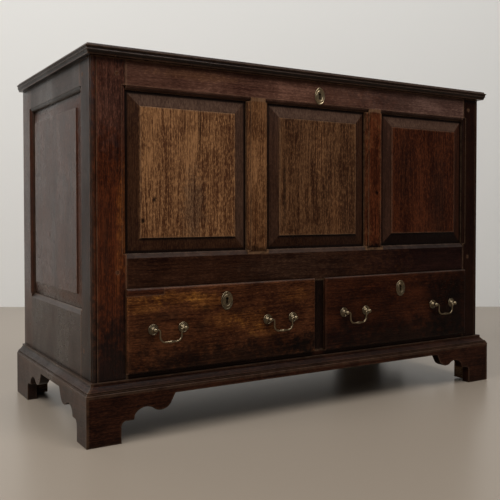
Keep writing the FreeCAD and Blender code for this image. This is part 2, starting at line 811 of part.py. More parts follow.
def side_frames():
    near, far = SIDE_GROOVE
    inner = "-half + rail_thick"
    top = [
        ("-half", "case_top"),
        ("-half", "side_panel_top + ovolo"),
        ("-half + ovolo_quirk", "side_panel_top + ovolo"),
        ("-half + ovolo_quirk + ovolo", "side_panel_top", "ovolo", -1),
        (near, "side_panel_top"),
        (near, "side_panel_top + groove_depth"),
        (far, "side_panel_top + groove_depth"),
        (far, "side_panel_top"),
        (inner, "side_panel_top"),
        (inner, "case_top"),
    ]
    bottom = [
        ("-half", "plinth_height"),
        (inner, "plinth_height"),
        (inner, "side_sill"),
        (far, "side_sill"),
        (far, "side_sill - groove_depth"),
        (near, "side_sill - groove_depth"),
        (near, "side_sill"),
        ("-half + sill_run", "side_sill"),
        ("-half", "side_sill - sill_rise"),
    ]
    rails = [side_rail("side_top", top, SIDE_RAILS["top"]),
             side_rail("side_bottom", bottom, SIDE_RAILS["bottom"])]
    node("side_rails", group("side_rail_set", *rails, *[mirrored(rail) for rail in rails]))
    panel = raised_panel("side", "side_back - side_front", "side_sill", "side_panel_top", True)
    place_at(panel, "-half", "side_middle", "0")
    pair("side_panels", panel)


def back_frame():
    inner = "half - rear_post"
    slot = ("back - back_inset - board_thick", "back - back_inset")
    rails = []
    for place, (low, high) in BACK_RAILS.items():
        body = plank(f"back_{place}", (f"-({inner})", inner), ("back_inner", "back"), (low, high))
        tenon = rectangle(f"-({inner}) - tenon_length", f"{inner} + tenon_length", *BACK_TENON)
        pad(body, "XY_Plane", tenon, *rail_z(low, high))
        groove_z = (low, f"{low} + groove_depth") if place == "top" else (f"{high} - groove_depth", high)
        hollow(body, (f"-({inner})", inner), slot, groove_z)
        if place == "top":
            for sign in ("-", ""):
                reach = "strap_width / 2 + seat_slack"
                hollow(body, (f"{sign}hinge_across - ({reach})", f"{sign}hinge_across + {reach}"),
                       ("back_inner", "back"), (f"{high} - strap_thick - seat_slack", high))
        rails.append(body)
    node("back_rails", group("back_rail_set", *rails))
    span = f"(2 * ({inner} + groove_depth - panel_slack))"
    count = number("back_board_count")
    boards = []
    for index in range(int(count)):
        start = f"-{span} / 2 + {span} / back_board_count * {index}"
        boards.append(block("back_board", (start, f"{start} + {span} / back_board_count - board_gap"),
                            (f"{slot[0]} + tongue_slack", f"{slot[1]} - tongue_slack"),
                            (f"{BACK_RAILS['bottom'][1]} - groove_depth + panel_slack",
                             f"{BACK_RAILS['top'][0]} + groove_depth - panel_slack")))
    node("back_boards", group("back_board_set", *boards))


# ---------------------------------------------------------------- chest floor and drawer runners

def chest_floor():
    """Floor boards along the chest, on two ledges nailed to the posts."""
    side = "half - rail_thick - seat_slack"
    back_face = "back - back_inset - board_thick"
    strips = [
        ("left_post + board_gap", "right_post - board_gap", "rail_back - groove_width", "side_front"),
        ("left_post + board_gap", "half - rear_post - board_gap", "side_back", back_face),
    ]
    step = "((side_back - side_front) / floor_board_count)"
    for index in range(int(number("floor_board_count"))):
        strips.append((f"-({side})", side, f"side_front + {step} * {index}",
                       f"side_front + {step} * {index + 1}"))
    boards = []
    for low_x, high_x, low_y, high_y in strips:
        boards.append(block("floor_board", (low_x, high_x),
                            (f"{low_y} + board_gap / 2", f"{high_y} - board_gap / 2"),
                            ("floor_height", "floor_top")))
    node("chest_floor", group("floor_boards", *boards))
    heights = ("floor_height - ledge_size", "floor_height")
    ledges = [
        block("ledge", ("left_post", "left_post + ledge_size"), ("rail_back", back_face), heights),
        block("ledge", ("right_post - ledge_size", "right_post"), ("rail_back", back_face), heights),
    ]
    node("floor_ledges", group("ledges", *ledges))


def drawer_runners():
    """Runners under the drawer sides, with the guides that keep the drawers straight."""
    y = ("rail_back", "back_inner")
    runner_z = ("drawer_low - runner_thick", "drawer_low")
    guide_z = ("drawer_low", "drawer_low + guide_height")
    deep_z = ("drawer_low - runner_thick", "drawer_low + guide_height")
    between = ("side_front", "side_back")
    inside = "half - rail_thick"
    pieces = [
        block("runner", ("left_post", "left_post + runner_width"), y, runner_z),
        block("runner", ("divider_left - runner_width", "divider_right + runner_width"), y, runner_z),
        block("runner", ("right_post - runner_width", "right_post"), y, runner_z),
        block("guide", (f"-({inside})", "left_post"), between, deep_z),
        block("guide", ("divider_left", "divider_right"), y, guide_z),
        block("guide", ("right_post", inside), between, deep_z),
    ]
    node("drawer_runners", group("runners", *pieces))


# ---------------------------------------------------------------- base

MOULDING = [                     # (out from the frame, above the plinth)
    ("0", "0"),
    ("plinth_out", "0"),
    ("plinth_out", "torus_low"),
    ("plinth_out - torus_back", "torus_high", "torus_radius", 1),
    ("plinth_out - fillet_back", "torus_high"),
    ("plinth_out - fillet_back", "fillet_high"),
    ("cove_out", "cove_high", "cove_radius", 1),
    ("cove_out", "moulding_height"),
    ("0", "moulding_height"),
]


def moulding_outline(origin, outward):
    """The base moulding's section, going out from a face of the frame."""
    outline = []
    for out, up, *arc in MOULDING:
        bend = [arc[0], arc[1] * (1 if outward == "+" else -1)] if arc else []
        outline.append((f"{origin} {outward} ({out})", f"plinth_height + {up}", *bend))
    return outline


def mitre_front(body, low, high):
    """Mitres both front ends of a piece that runs along the front."""
    for sign in ("-", ""):
        corner = f"{sign}plinth_end"
        inner = f"{sign}half"
        beyond = f"{sign}(plinth_end + plinth_out)"
        deep = f"{sign}(half - plinth_thick)"
        triangle = [(corner, "plinth_front"), (deep, "front + plinth_thick"),
                    (beyond, "front + plinth_thick"), (beyond, "plinth_front")]
        pocket(body, "XY_Plane", triangle, low, high)
    return body


def mitre_side(body, low, high):
    """Mitres the front end of a left-hand piece that runs along the side."""
    triangle = [("-plinth_end", "plinth_front"), ("-(half - plinth_thick)", "front + plinth_thick"),
                ("-(half - plinth_thick)", "plinth_front - plinth_out"),
                ("-plinth_end", "plinth_front - plinth_out")]
    return pocket(body, "XY_Plane", triangle, low, high)


def base_mouldings():
    top = "plinth_height + moulding_height"
    front = pad(new_body("moulding_front"), "YZ_Plane", moulding_outline("front", "-"),
                "-plinth_end", "plinth_end")
    node("base_moulding_front", mitre_front(front, "plinth_height", top))
    side = pad(new_body("moulding_side"), "XZ_Plane", moulding_outline("-half", "-"),
               "plinth_front", "back")
    pair("base_moulding_sides", mitre_side(side, "plinth_height", top))


SCROLL = [                       # (past the foot, height): the bracket's scrolled edge
    ("0", "36"),
    ("12", "47", "12", 1),
    ("29", "47"),
    ("30.5", "57"),
    ("78", "63", "31", 1),
    ("115", "71", "29", -1),
    ("127", "apron_low"),
]


def scroll(foot, direction):
    """The scrolled edge of one bracket, from its foot towards the middle of the board."""
    points = []
    for along, height, *arc in SCROLL:
        bend = [arc[0], arc[1] * (1 if direction == "+" else -1)] if arc else []
        points.append((f"{foot} {direction} {along}", height, *bend))
    return points


def returned(points):
    """The same points walked the other way; each arc moves to the point that it now leads to."""
    walked = []
    for index in range(len(points) - 1, -1, -1):
        after = points[index + 1] if index + 1 < len(points) else ()
        bend = (after[2], -after[3]) if len(after) == 4 else ()
        walked.append((*points[index][:2], *bend))
    return walked


def bracket_outline(low, high, low_foot, high_foot):
    """A bracket board standing on its two feet."""
    outline = [(low, "plinth_height"), (low, "0"), (f"{low} + {low_foot}", "0")]
    outline += scroll(f"{low} + {low_foot}", "+")
    outline += returned(scroll(f"{high} - {high_foot}", "-"))
    outline += [(f"{high} - {high_foot}", "0"), (high, "0"), (high, "plinth_height")]
    return outline


def plinth():
    front = pad(new_body("plinth_board"), "XZ_Plane",
                bracket_outline("-plinth_end", "plinth_end", "foot_front", "foot_front"),
                "plinth_front", "plinth_front + plinth_thick")
    node("plinth_front", mitre_front(front, "0", "plinth_height"))
    side = pad(new_body("plinth_side"), "YZ_Plane",
               bracket_outline("plinth_front", "back", "foot_side", "foot_rear"),
               "-plinth_end", "-plinth_inner")
    pair("plinth_sides", mitre_side(side, "0", "plinth_height"))
    rear = [("-plinth_inner", "0"), ("-plinth_inner + rear_bracket_foot", "0"),
            ("-plinth_inner + rear_bracket", "rear_bracket_rise"),
            ("-plinth_inner + rear_bracket", "plinth_height"), ("-plinth_inner", "plinth_height")]
    bracket = pad(new_body("rear_bracket"), "XZ_Plane", rear, "back - rear_bracket_thick", "back")
    pair("rear_brackets", bracket)
    blocks = []
    inner = "plinth_front + plinth_thick"
    rear_face = "back - rear_bracket_thick"
    for y in ((inner, f"{inner} + block_size"), (f"{rear_face} - block_size", rear_face)):
        blocks.append(block("foot_block", ("-plinth_inner", "-plinth_inner + block_size"), y,
                            ("block_lift", "plinth_height")))
    node("foot_blocks", group("blocks", *blocks, *[mirrored(item) for item in blocks]))


# ---------------------------------------------------------------- pegs

def joint_pegs():
    pegs = []
    for side in ("left", "right"):
        pegs += [rod("front_peg", "y", "peg_radius", x, y, z, "peg_length")
                 for x, y, z in front_pegs(side)]
    left = [rod("side_peg", "x", "peg_radius", x, y, z, "peg_length") for x, y, z in side_pegs()]
    node("joint_pegs", group("pegs", *pegs, *left, *[mirrored(peg) for peg in left]))


# ---------------------------------------------------------------- lid

def lid_edge(out, sign):
    """What is cut away to mould one edge of the lid; sign points inwards."""
    side = 1 if sign == "+" else -1
    inward = {depth: f"{out} {sign} (lid_skim + {depth})"
              for depth in ("lid_round", "lid_quirk", "lid_foot")}
    beyond = f"{out} {'-' if sign == '+' else '+'} lid_foot"
    edge = f"{out} {sign} lid_skim"
    quirk = "lid_top - lid_quirk_low"
    bead = f"{quirk} - lid_quirk_wide"
    return [
        (beyond, "lid_top + overcut"),
        (inward["lid_round"], "lid_top + overcut"),
        (inward["lid_round"], "lid_top"),
        (edge, "lid_top - lid_round", "lid_round", side),
        (edge, quirk),
        (inward["lid_quirk"], quirk),
        (inward["lid_quirk"], bead),
        (inward["lid_quirk"], f"{bead} - lid_bead", "lid_bead_radius", side),
        (inward["lid_foot"], "case_top", "lid_sweep", side),
        (inward["lid_foot"], "case_top - overcut"),
        (beyond, "case_top - overcut"),
    ]


def lid():
    """Two planks with the same moulding worked round the front and both ends."""
    spans = {"front": ("lid_front", "lid_joint"), "rear": ("lid_joint", "back")}
    for place, (near, far) in spans.items():
        body = plank(f"lid_{place}", ("-lid_end", "lid_end"), (near, far), ("case_top", "lid_top"))
        if place == "front":
            pocket(body, "YZ_Plane", lid_edge("lid_front", "+"), "-lid_end - overcut", "lid_end + overcut")
        pocket(body, "XZ_Plane", lid_edge("-lid_end", "+"), f"{near} - overcut", f"{far} + overcut")
        pocket(body, "XZ_Plane", lid_edge("lid_end", "-"), f"{near} - overcut", f"{far} + overcut")
        if place == "front":
            wide = "staple_plate / 2 + seat_slack"
            hollow(body, (f"centre - ({wide})", f"centre + {wide}"),
                   ("staple_y - staple_width - seat_slack", "staple_y + staple_width + seat_slack"),
                   ("case_top", "case_top + strap_thick"))
        node(f"lid_plank_{place}", body)
    y = ("front + batten_end", "side_back - batten_inset")
    z = ("case_top - batten_height", "case_top")
    left = "left_post + batten_inset"
    right = "half - rear_post - batten_inset"
    battens = [block("batten", (left, f"{left} + batten_width"), y, z),
               block("batten", (f"{right} - batten_width", right), y, z)]
    node("lid_battens", group("battens", *battens))


def staple():
    """The eye under the lid that the chest lock's bolt passes through."""
    body = plank("staple", ("centre - staple_plate / 2", "centre + staple_plate / 2"),
                 ("staple_y - staple_width", "staple_y + staple_width"),
                 ("case_top + seat_slack", "case_top + strap_thick"))
    half_thick = "staple_thick / 2"
    pad(body, "XY_Plane",
        rectangle(f"centre - {half_thick}", f"centre + {half_thick}",
                  "staple_y - staple_width / 2", "staple_y + staple_width / 2"),
        "case_top - staple_drop", "case_top + strap_thick")
    pocket(body, "YZ_Plane",
           rectangle("staple_y - staple_eye / 2", "staple_y + staple_eye / 2",
                     "eye_z - bolt_height / 2 - overcut", "eye_z + bolt_height / 2 + overcut"),
           "centre - staple_thick", "centre + staple_thick")
    node("lid_staple", body)


def hinges():
    """Two iron strap hinges: one strap under the lid, one down the outside of the back."""
    lid_straps, case_straps, pins = [], [], []
    third = "(strap_width / 3)"
    for sign in ("-", ""):
        low = f"({sign}hinge_across - strap_width / 2)"
        high = f"({low} + strap_width)"
        middle = (f"{low} + {third} + knuckle_gap", f"{high} - {third} - knuckle_gap")
        ends = [(low, f"{low} + {third}"), (f"{high} - {third}", high)]
        bore = rod("bore", "x", "hinge_pin + running_fit", low, "hinge_y", "hinge_z", "strap_width")
        strap = block("lid_strap", (low, high), ("back - strap_length", "back - knuckle_gap"),
                      ("case_top - strap_thick", "case_top"))
        neck = block("lid_neck", middle, ("back - knuckle_gap", "hinge_y"),
                     ("case_top - strap_thick", "case_top"))
        knuckle = rod("lid_knuckle", "x", "knuckle_radius", middle[0], "hinge_y", "hinge_z",
                      f"{middle[1]} - ({middle[0]})")
        lid_straps.append(cut("lid_strap_bored", fuse("lid_strap_whole", strap, neck, knuckle), bore))
        leaf = block("case_strap", (low, high), ("back", "back + strap_thick"),
                     ("case_top - strap_length", "hinge_z - knuckle_radius - knuckle_gap"))
        parts = [leaf]
        for start, end in ends:
            parts.append(block("case_neck", (start, end), ("back", "back + strap_thick"),
                               ("hinge_z - 2 * knuckle_radius", "hinge_z")))
            parts.append(rod("case_knuckle", "x", "knuckle_radius", start, "hinge_y", "hinge_z",
                             f"{end} - ({start})"))
        case_straps.append(cut("case_strap_bored", fuse("case_strap_whole", *parts), bore))
        pins.append(rod("hinge_pin", "x", "hinge_pin", low, "hinge_y", "hinge_z", "strap_width"))
    node("hinge_lid_straps", group("lid_strap_set", *lid_straps))
    node("hinge_case_straps", group("case_strap_set", *case_straps))
    node("hinge_pins", group("pin_set", *pins))


# ---------------------------------------------------------------- locks and keyhole plates

def chest_lock():
    wall = "lock_wall"
    shell = plank("lock_shell", ("lock_left", "lock_right"), ("lock_front", "lock_back"),
                  ("lock_low", "lock_high"))
    hollow(shell, (f"lock_left + {wall}", f"lock_right - {wall}"),
           (f"lock_front + {wall}", f"lock_back - {wall}"), (f"lock_low + {wall}", f"lock_high - {wall}"))
    hollow(shell, ("centre - staple_thick", "centre + staple_thick"),
           (f"lock_front + {wall}", f"lock_back - {wall}"), (f"lock_high - {wall}", "lock_high"))
    tip = "centre - staple_thick / 2 - bolt_clear"
    inside = (f"lock_front + {wall}", f"lock_back - {wall}")
    guide = "(bolt_height / 2 + lock_wall * 2)"
    pad(shell, "XY_Plane", rectangle(f"{tip} - bolt_length", f"{tip} - bolt_throw - lock_wall", *inside),
        f"eye_z - {guide}", f"lock_high - {wall}")
    hollow(shell, (f"{tip} - bolt_length", f"{tip} - bolt_throw - lock_wall"),
           ("staple_y - bolt_thick / 2 - bolt_guide", "staple_y + bolt_thick / 2 + bolt_guide"),
           ("eye_z - bolt_height / 2 - bolt_guide", "eye_z + bolt_height / 2 + bolt_guide"))
    hole = keyhole("lock_keyhole", "centre", "chest_keyhole", "lock_front", f"lock_front + {wall}")
    node("chest_lock", cut("lock_keyed", shell, hole))
    bolt = block("bolt", (f"{tip} - bolt_length", tip),
                 ("staple_y - bolt_thick / 2", "staple_y + bolt_thick / 2"),
                 ("eye_z - bolt_height / 2", "eye_z + bolt_height / 2"))
    node("chest_lock_bolt", bolt)


def key_plate(name, x, z, face):
    """An oval keyhole plate with a raised rim, on a face that looks towards -Y."""
    solids = []
    for part, width, height, thick in (("rim", "plate_width", "plate_height", "plate_thick"),
                                       ("boss", "plate_width * plate_boss", "plate_height * plate_boss",
                                        "plate_thick + plate_rim")):
        oval = doc.addObject("Part::Ellipse", f"{name}_{part}_oval")
        oval.Placement.Rotation = Rotation(Vector(1, 0, 0), 90) * Rotation(Vector(0, 0, 1), 90)
        oval.setExpression("MajorRadius", formula(f"{height} / 2"))
        oval.setExpression("MinorRadius", formula(f"{width} / 2"))
        place_at(oval, x, face, z)
        solid = doc.addObject("Part::Extrusion", f"{name}_{part}")
        solid.Base = oval
        solid.DirMode = "Custom"
        solid.Dir = Vector(0, -1, 0)
        solid.setExpression("LengthFwd", formula(thick))
        solid.Solid = True
        solids.append(solid)
    hole = keyhole(f"{name}_hole", x, z, f"{face} - 4 * plate_thick", face)
    return node(name, cut(f"{name}_keyed", fuse(f"{name}_plate", *solids), hole))


# ---------------------------------------------------------------- drawers

DRAWERS = {                      # opening, shift of the furniture, handle spread
    "left": ("left_post", "divider_left", "hardware_shift", "handle_spread_left"),
    "right": ("divider_right", "right_post", "0", "handle_spread_right"),
}


def drawer_centre(low, high, shift):
    return f"(({low} + {high}) / 2 + {shift})"


def tails(place, direction):
    """Dovetails of a drawer side, walked upwards; place is the root, direction their way."""
    pitch = "((side_head - drawer_base) / tail_count)"
    tip = f"{place} {direction} tail_length"
    points = []
    for index in range(int(number("tail_count"))):
        low = f"(drawer_base + {pitch} * {index})"
        root = f"{low} + {pitch} * tail_start"
        head = f"{low} + {pitch} * (1 - tail_start)"
        points += [(place, root), (tip, f"{root} - tail_flare"), (tip, f"{head} + tail_flare"),
                   (place, head)]
    return points


def drawer_side(name, low, high):
    """A drawer side with half-blind tails at the front and through tails at the back."""
    rear = "(drawer_end - side_thick)"
    front_root = "drawer_inner"
    outline = [(front_root, "drawer_base")] + tails(front_root, "-") + [(front_root, "side_head")]
    outline += [(rear, "side_head")]
    rear_tails = [(u.replace("tail_length", "side_thick"), v) for u, v in tails(rear, "+")]
    outline += list(reversed(rear_tails)) + [(rear, "drawer_base")]
    return pad(new_body(name), "YZ_Plane", outline, low, high)


def front_board(side, low, high):
    """The lipped drawer front, thumb-moulded on its four edges."""
    face = rectangle(f"{low} - lip", f"{high} + lip", "drawer_low - lip", "drawer_top + lip")
    body = pad(new_body(f"front_{side}"), "XZ_Plane", face, "drawer_face", "front - lip_gap")
    doc.recompute()
    square = body.Tip
    level = number("drawer_face")
    edges = []
    for index, edge in enumerate(square.Shape.Edges, start=1):
        box = edge.BoundBox
        if max(abs(box.YMin - level), abs(box.YMax - level)) < TOUCHING:
            edges.append(f"Edge{index}")
    feature = body.newObject("PartDesign::Fillet", "Thumb_moulding")
    feature.Base = (square, edges)
    feature.setExpression("Radius", formula("front_round"))
    body.Tip = feature
    core = rectangle(f"{low} + drawer_play", f"{high} - drawer_play", "drawer_base", "drawer_head")
    pad(body, "XZ_Plane", core, "front - lip_gap", "drawer_inner")
    return body


def lock_box(side, x):
    """A drawer lock let into the back of the front, with its bolt."""
    wall = "lock_wall"
    y = ("drawer_inner - drawer_lock_deep", "drawer_inner")
    z = ("drawer_head - lock_height", "drawer_head")
    wide = "drawer_lock_width / 2"
    shell = plank(f"lock_{side}", (f"{x} - {wide}", f"{x} + {wide}"), y, z)
    hollow(shell, (f"{x} - {wide} + {wall}", f"{x} + {wide} - {wall}"),
           (f"{y[0]} + {wall}", f"{y[1]} - {wall}"), (f"{z[0]} + {wall}", f"{z[1]} - {wall}"))
    bolt_wide = "drawer_bolt / 2"
    bolt_y = (f"{y[1]} - {wall} - drawer_bolt_thick - seat_slack", f"{y[1]} - {wall} - seat_slack")
    hollow(shell, (f"{x} - {bolt_wide} - seat_slack", f"{x} + {bolt_wide} + seat_slack"),
           (f"{bolt_y[0]} - seat_slack", f"{bolt_y[1]} + seat_slack"), (f"{z[1]} - {wall}", z[1]))
    hole = keyhole(f"lock_{side}_keyhole", x, "drawer_keyhole", y[0], f"{y[0]} + {wall}")
    node(f"drawer_{side}_lock", cut(f"lock_{side}_keyed", shell, hole))
    bolt = block(f"bolt_{side}", (f"{x} - {bolt_wide}", f"{x} + {bolt_wide}"), bolt_y,
                 (f"{z[1]} - seat_slack - drawer_bolt_height", f"{z[1]} - seat_slack"))
    node(f"drawer_{side}_bolt", bolt)
    slack = "seat_slack"
    return block(f"lock_seat_{side}", (f"{x} - {wide} - {slack}", f"{x} + {wide} + {slack}"),
                 (f"{y[0]} - {slack}", f"{y[1]} + overcut"), (f"{z[0]} - {slack}", f"{z[1]} + overcut"))


def handle_post(name, x):
    """A turned post: threaded shank through the front, neck, and a ball with a cross bore."""
    start = "drawer_inner + nut_thick + 2"
    shank = rod(f"{name}_shank", "y", "post_shank", x, "drawer_face - rose_thick - rose_dome",
                "handle_height", f"{start} - (drawer_face - rose_thick - rose_dome)")
    neck = cone(f"{name}_neck", "y", "post_neck", "post_foot", x, "drawer_face - post_reach",
                "handle_height", "post_reach - rose_thick - rose_dome")
    head = ball(f"{name}_ball", "ball_radius", x, "bail_y", "handle_height")
    bore = rod(f"{name}_bore", "x", "bail_wire + running_fit", f"{x} - 2 * ball_radius", "bail_y",
               "handle_height", "4 * ball_radius")
    return cut(f"{name}_post", fuse(f"{name}_solid", shank, neck, head), bore)


def handle_rose(name, x):
    flat = rod(f"{name}_flat", "y", "rose_radius", x, "drawer_face - rose_thick", "handle_height",
               "rose_thick")
    dome = cone(f"{name}_dome", "y", "rose_crown", "rose_shoulder", x,
                "drawer_face - rose_thick - rose_dome", "handle_height", "rose_dome")
    bore = rod(f"{name}_bore", "y", "post_shank + shank_slack", x,
               "drawer_face - rose_thick - rose_dome", "handle_height", "rose_thick + rose_dome")
    return cut(f"{name}_rose", fuse(f"{name}_disc", flat, dome), bore)


def handle_nut(name, x):
    half_nut = "nut_size / 2"
    square = block(f"{name}_square", (f"{x} - {half_nut}", f"{x} + {half_nut}"),
                   ("drawer_inner", "drawer_inner + nut_thick"),
                   (f"handle_height - {half_nut}", f"handle_height + {half_nut}"))
    bore = rod(f"{name}_thread", "y", "post_shank + shank_slack", x, "drawer_inner", "handle_height",
               "nut_thick")
    return cut(f"{name}_nut", square, bore)


def bail(name, x):
    """A hanging bail: wire led along its route, swelled in the middle of the grip."""
    post = "post_spacing / 2"
    upright = f"({post} - bail_neck)"
    grip = f"({upright} - bail_corner)"
    half_route = [
        (f"({post} + ball_radius)", "0"),
        (f"({upright} + bail_turn)", "0"),
        (upright, "-bail_turn"),
        (upright, "-bail_drop + bail_corner"),
        (grip, "-bail_drop"),
    ]
    bends = {2: "bail_turn", 4: "bail_corner", 6: "bail_corner", 8: "bail_turn"}
    route = [(f"{x} - {u}", f"handle_height + {v}") for u, v in half_route]
    route += [(f"{x} + {u}", f"handle_height + {v}") for u, v in reversed(half_route)]
    for corner, radius in bends.items():
        route[corner] += (radius, 1 if corner == 2 or corner == 8 else -1)
    body = new_body(name)
    spine = empty_sketch(body, "XZ_Plane", "bail_y")
    draw(spine, route, closed=False)
    wire = empty_sketch(body, "YZ_Plane", route[0][0])
    place = ("bail_y", "handle_height", "bail_wire")
    y, z, radius = [number(text) for text in place]
    wire.addGeometry(Part.Circle(Vector(y, z, 0), Vector(0, 0, 1), radius), False)
    wire.addConstraint([Sketcher.Constraint("DistanceX", -1, 1, 0, 3, y),
                        Sketcher.Constraint("DistanceY", -1, 1, 0, 3, z),
                        Sketcher.Constraint("Radius", 0, radius)])
    for rule, text in enumerate(place):
        wire.setExpression(f"Constraints[{rule}]", formula(text))
    doc.recompute()
    pipe = body.newObject("PartDesign::AdditivePipe", "Pipe")
    pipe.Profile = wire
    pipe.Spine = spine
    body.Tip = pipe
    level = "handle_height - bail_drop"
    swell = [cone(f"{name}_swell", "x", "bail_thin", "bail_swell", f"{x} - {grip}", "bail_y", level, grip),
             cone(f"{name}_swell", "x", "bail_swell", "bail_thin", x, "bail_y", level, grip)]
    return node(name, fuse(f"{name}_whole", body, *swell))


def drawer(side):
    low, high, shift, spread = DRAWERS[side]
    x = drawer_centre(low, high, shift)
    near = f"({low} + drawer_play)"
    far = f"({high} - drawer_play)"
    sides = [drawer_side(f"drawer_{side}_side", near, f"{near} + side_thick"),
             drawer_side(f"drawer_{side}_side", f"{far} - side_thick", far)]
    back = block(f"drawer_{side}_back_blank", (near, far), ("drawer_end - side_thick", "drawer_end"),
                 ("bottom_high", "side_head - side_drop"))
    bottom = block(f"drawer_{side}_panel",
                   (f"{near} + side_thick - bottom_groove", f"{far} - side_thick + bottom_groove"),
                   ("drawer_inner - bottom_groove", "drawer_end"), ("bottom_low", "bottom_high"))
    node(f"drawer_{side}_bottom", bottom)
    node(f"drawer_{side}_back", cut(f"drawer_{side}_back_cut", back, *sides))
    grooved = [cut(f"drawer_{side}_side_grooved", item, bottom) for item in sides]
    node(f"drawer_{side}_sides", group(f"drawer_{side}_side_pair", *grooved))
    posts = []
    for handle in (f"({x} - {spread})", f"({x} + {spread})"):
        posts += [f"({handle} - post_spacing / 2)", f"({handle} + post_spacing / 2)"]
    bores = [rod(f"post_hole_{side}", "y", "post_shank + shank_slack", place, "drawer_face",
                 "handle_height", "front_thick") for place in posts]
    seat = lock_box(side, x)
    hole = keyhole(f"drawer_{side}_keyhole", x, "drawer_keyhole", "drawer_face", "drawer_inner")
    board = cut(f"drawer_{side}_front_cut", front_board(side, low, high), *sides, bottom, seat, hole,
                *bores)
    if side == "left":
        board = repaired(board, low)
    node(f"drawer_{side}_front", board)
    key_plate(f"drawer_{side}_escutcheon", x, "drawer_keyhole", "drawer_face")
    node(f"drawer_{side}_roses", group(f"roses_{side}", *[handle_rose(side, place) for place in posts]))
    node(f"drawer_{side}_posts", group(f"posts_{side}", *[handle_post(side, place) for place in posts]))
    node(f"drawer_{side}_nuts", group(f"nuts_{side}", *[handle_nut(side, place) for place in posts]))
    for place, sign in (("left", "-"), ("right", "+")):
        bail(f"bail_{side}_drawer_{place}", f"({x} {sign} {spread})")


def repaired(board, low):
    """Lets a strip of new wood into the upper left corner of a drawer front."""
    strip = block("repair_strip", (f"{low} - lip", f"{low} - lip + repair_width"),
                  ("drawer_face", "drawer_face + repair_deep"),
                  ("drawer_top + lip - repair_height", "drawer_top + lip"))
    patch = doc.addObject("Part::Common", "repair_patch")
    patch.Base = board
    patch.Tool = strip
    node("drawer_left_repair", patch)
    return cut("drawer_left_front_repaired", board, strip)


# ---------------------------------------------------------------- the whole chest

def build():
    corner_post("left")
    corner_post("right")
    rear_posts()
    front_top_rail()
    front_middle_rail()
    front_bottom_rail()
    front_muntins()
    drawer_divider()
    front_panels()
    side_frames()
    back_frame()
    chest_floor()
    drawer_runners()
    base_mouldings()
    plinth()
    joint_pegs()
    lid()
    staple()
    hinges()
    chest_lock()
    key_plate("chest_escutcheon", "centre", "chest_keyhole", "front")
    for side in DRAWERS:
        drawer(side)


def check():
    """Stops if any object failed or any sub-part has no valid shape."""
    for item in doc.Objects:
        if {"Invalid", "Error"} & set(item.State):
            raise RuntimeError(f"{item.Label} did not build: {item.State}")
    for name, item in nodes.items():
        if item.Shape.isNull() or not item.Shape.isValid():
            raise RuntimeError(f"{name} has no valid shape")


def export():
    os.makedirs("parts", exist_ok=True)
    for name, item in nodes.items():
        item.Shape.exportStep(f"parts/{name}.step")
        print(f"{name}: {len(item.Shape.Solids)} solids, {item.Shape.Volume / 1000:.1f} cm3")


build()
doc.recompute()
check()
export()
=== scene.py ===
"""An oak mule chest: the worked boards, fittings and finishes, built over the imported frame."""
import json
import math
import random

import bmesh
import bpy
from bpy.props import FloatProperty, FloatVectorProperty, PointerProperty
from bpy.types import Operator, Panel, PropertyGroup
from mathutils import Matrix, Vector

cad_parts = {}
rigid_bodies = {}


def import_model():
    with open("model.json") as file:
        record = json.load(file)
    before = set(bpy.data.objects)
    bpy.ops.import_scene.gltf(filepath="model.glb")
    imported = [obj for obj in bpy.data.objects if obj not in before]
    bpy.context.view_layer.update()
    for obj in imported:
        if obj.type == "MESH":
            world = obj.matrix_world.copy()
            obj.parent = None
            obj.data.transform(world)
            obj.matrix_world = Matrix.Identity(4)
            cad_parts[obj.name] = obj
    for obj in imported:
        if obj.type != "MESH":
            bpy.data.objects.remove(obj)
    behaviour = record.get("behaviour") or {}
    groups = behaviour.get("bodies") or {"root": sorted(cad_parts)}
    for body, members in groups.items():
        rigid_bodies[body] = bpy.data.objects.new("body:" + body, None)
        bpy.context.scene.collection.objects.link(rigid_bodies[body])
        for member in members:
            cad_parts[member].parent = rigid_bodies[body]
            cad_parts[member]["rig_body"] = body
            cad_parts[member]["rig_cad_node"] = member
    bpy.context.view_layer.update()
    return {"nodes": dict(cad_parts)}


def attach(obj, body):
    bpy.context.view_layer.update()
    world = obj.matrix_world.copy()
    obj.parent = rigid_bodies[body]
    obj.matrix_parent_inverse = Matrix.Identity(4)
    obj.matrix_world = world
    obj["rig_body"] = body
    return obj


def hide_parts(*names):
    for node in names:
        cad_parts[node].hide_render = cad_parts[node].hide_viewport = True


bl_info = {
    "name": "Oak mule chest",
    "version": (1, 0, 0),
    "blender": (4, 5, 0),
    "location": "3D View > Sidebar > Mule chest",
    "description": "Works the boards of an oak chest, fits its brass and iron, and sets the stage",
    "category": "Object",
}

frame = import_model()
NODES = frame["nodes"]
MM = 0.001


# ---- settings

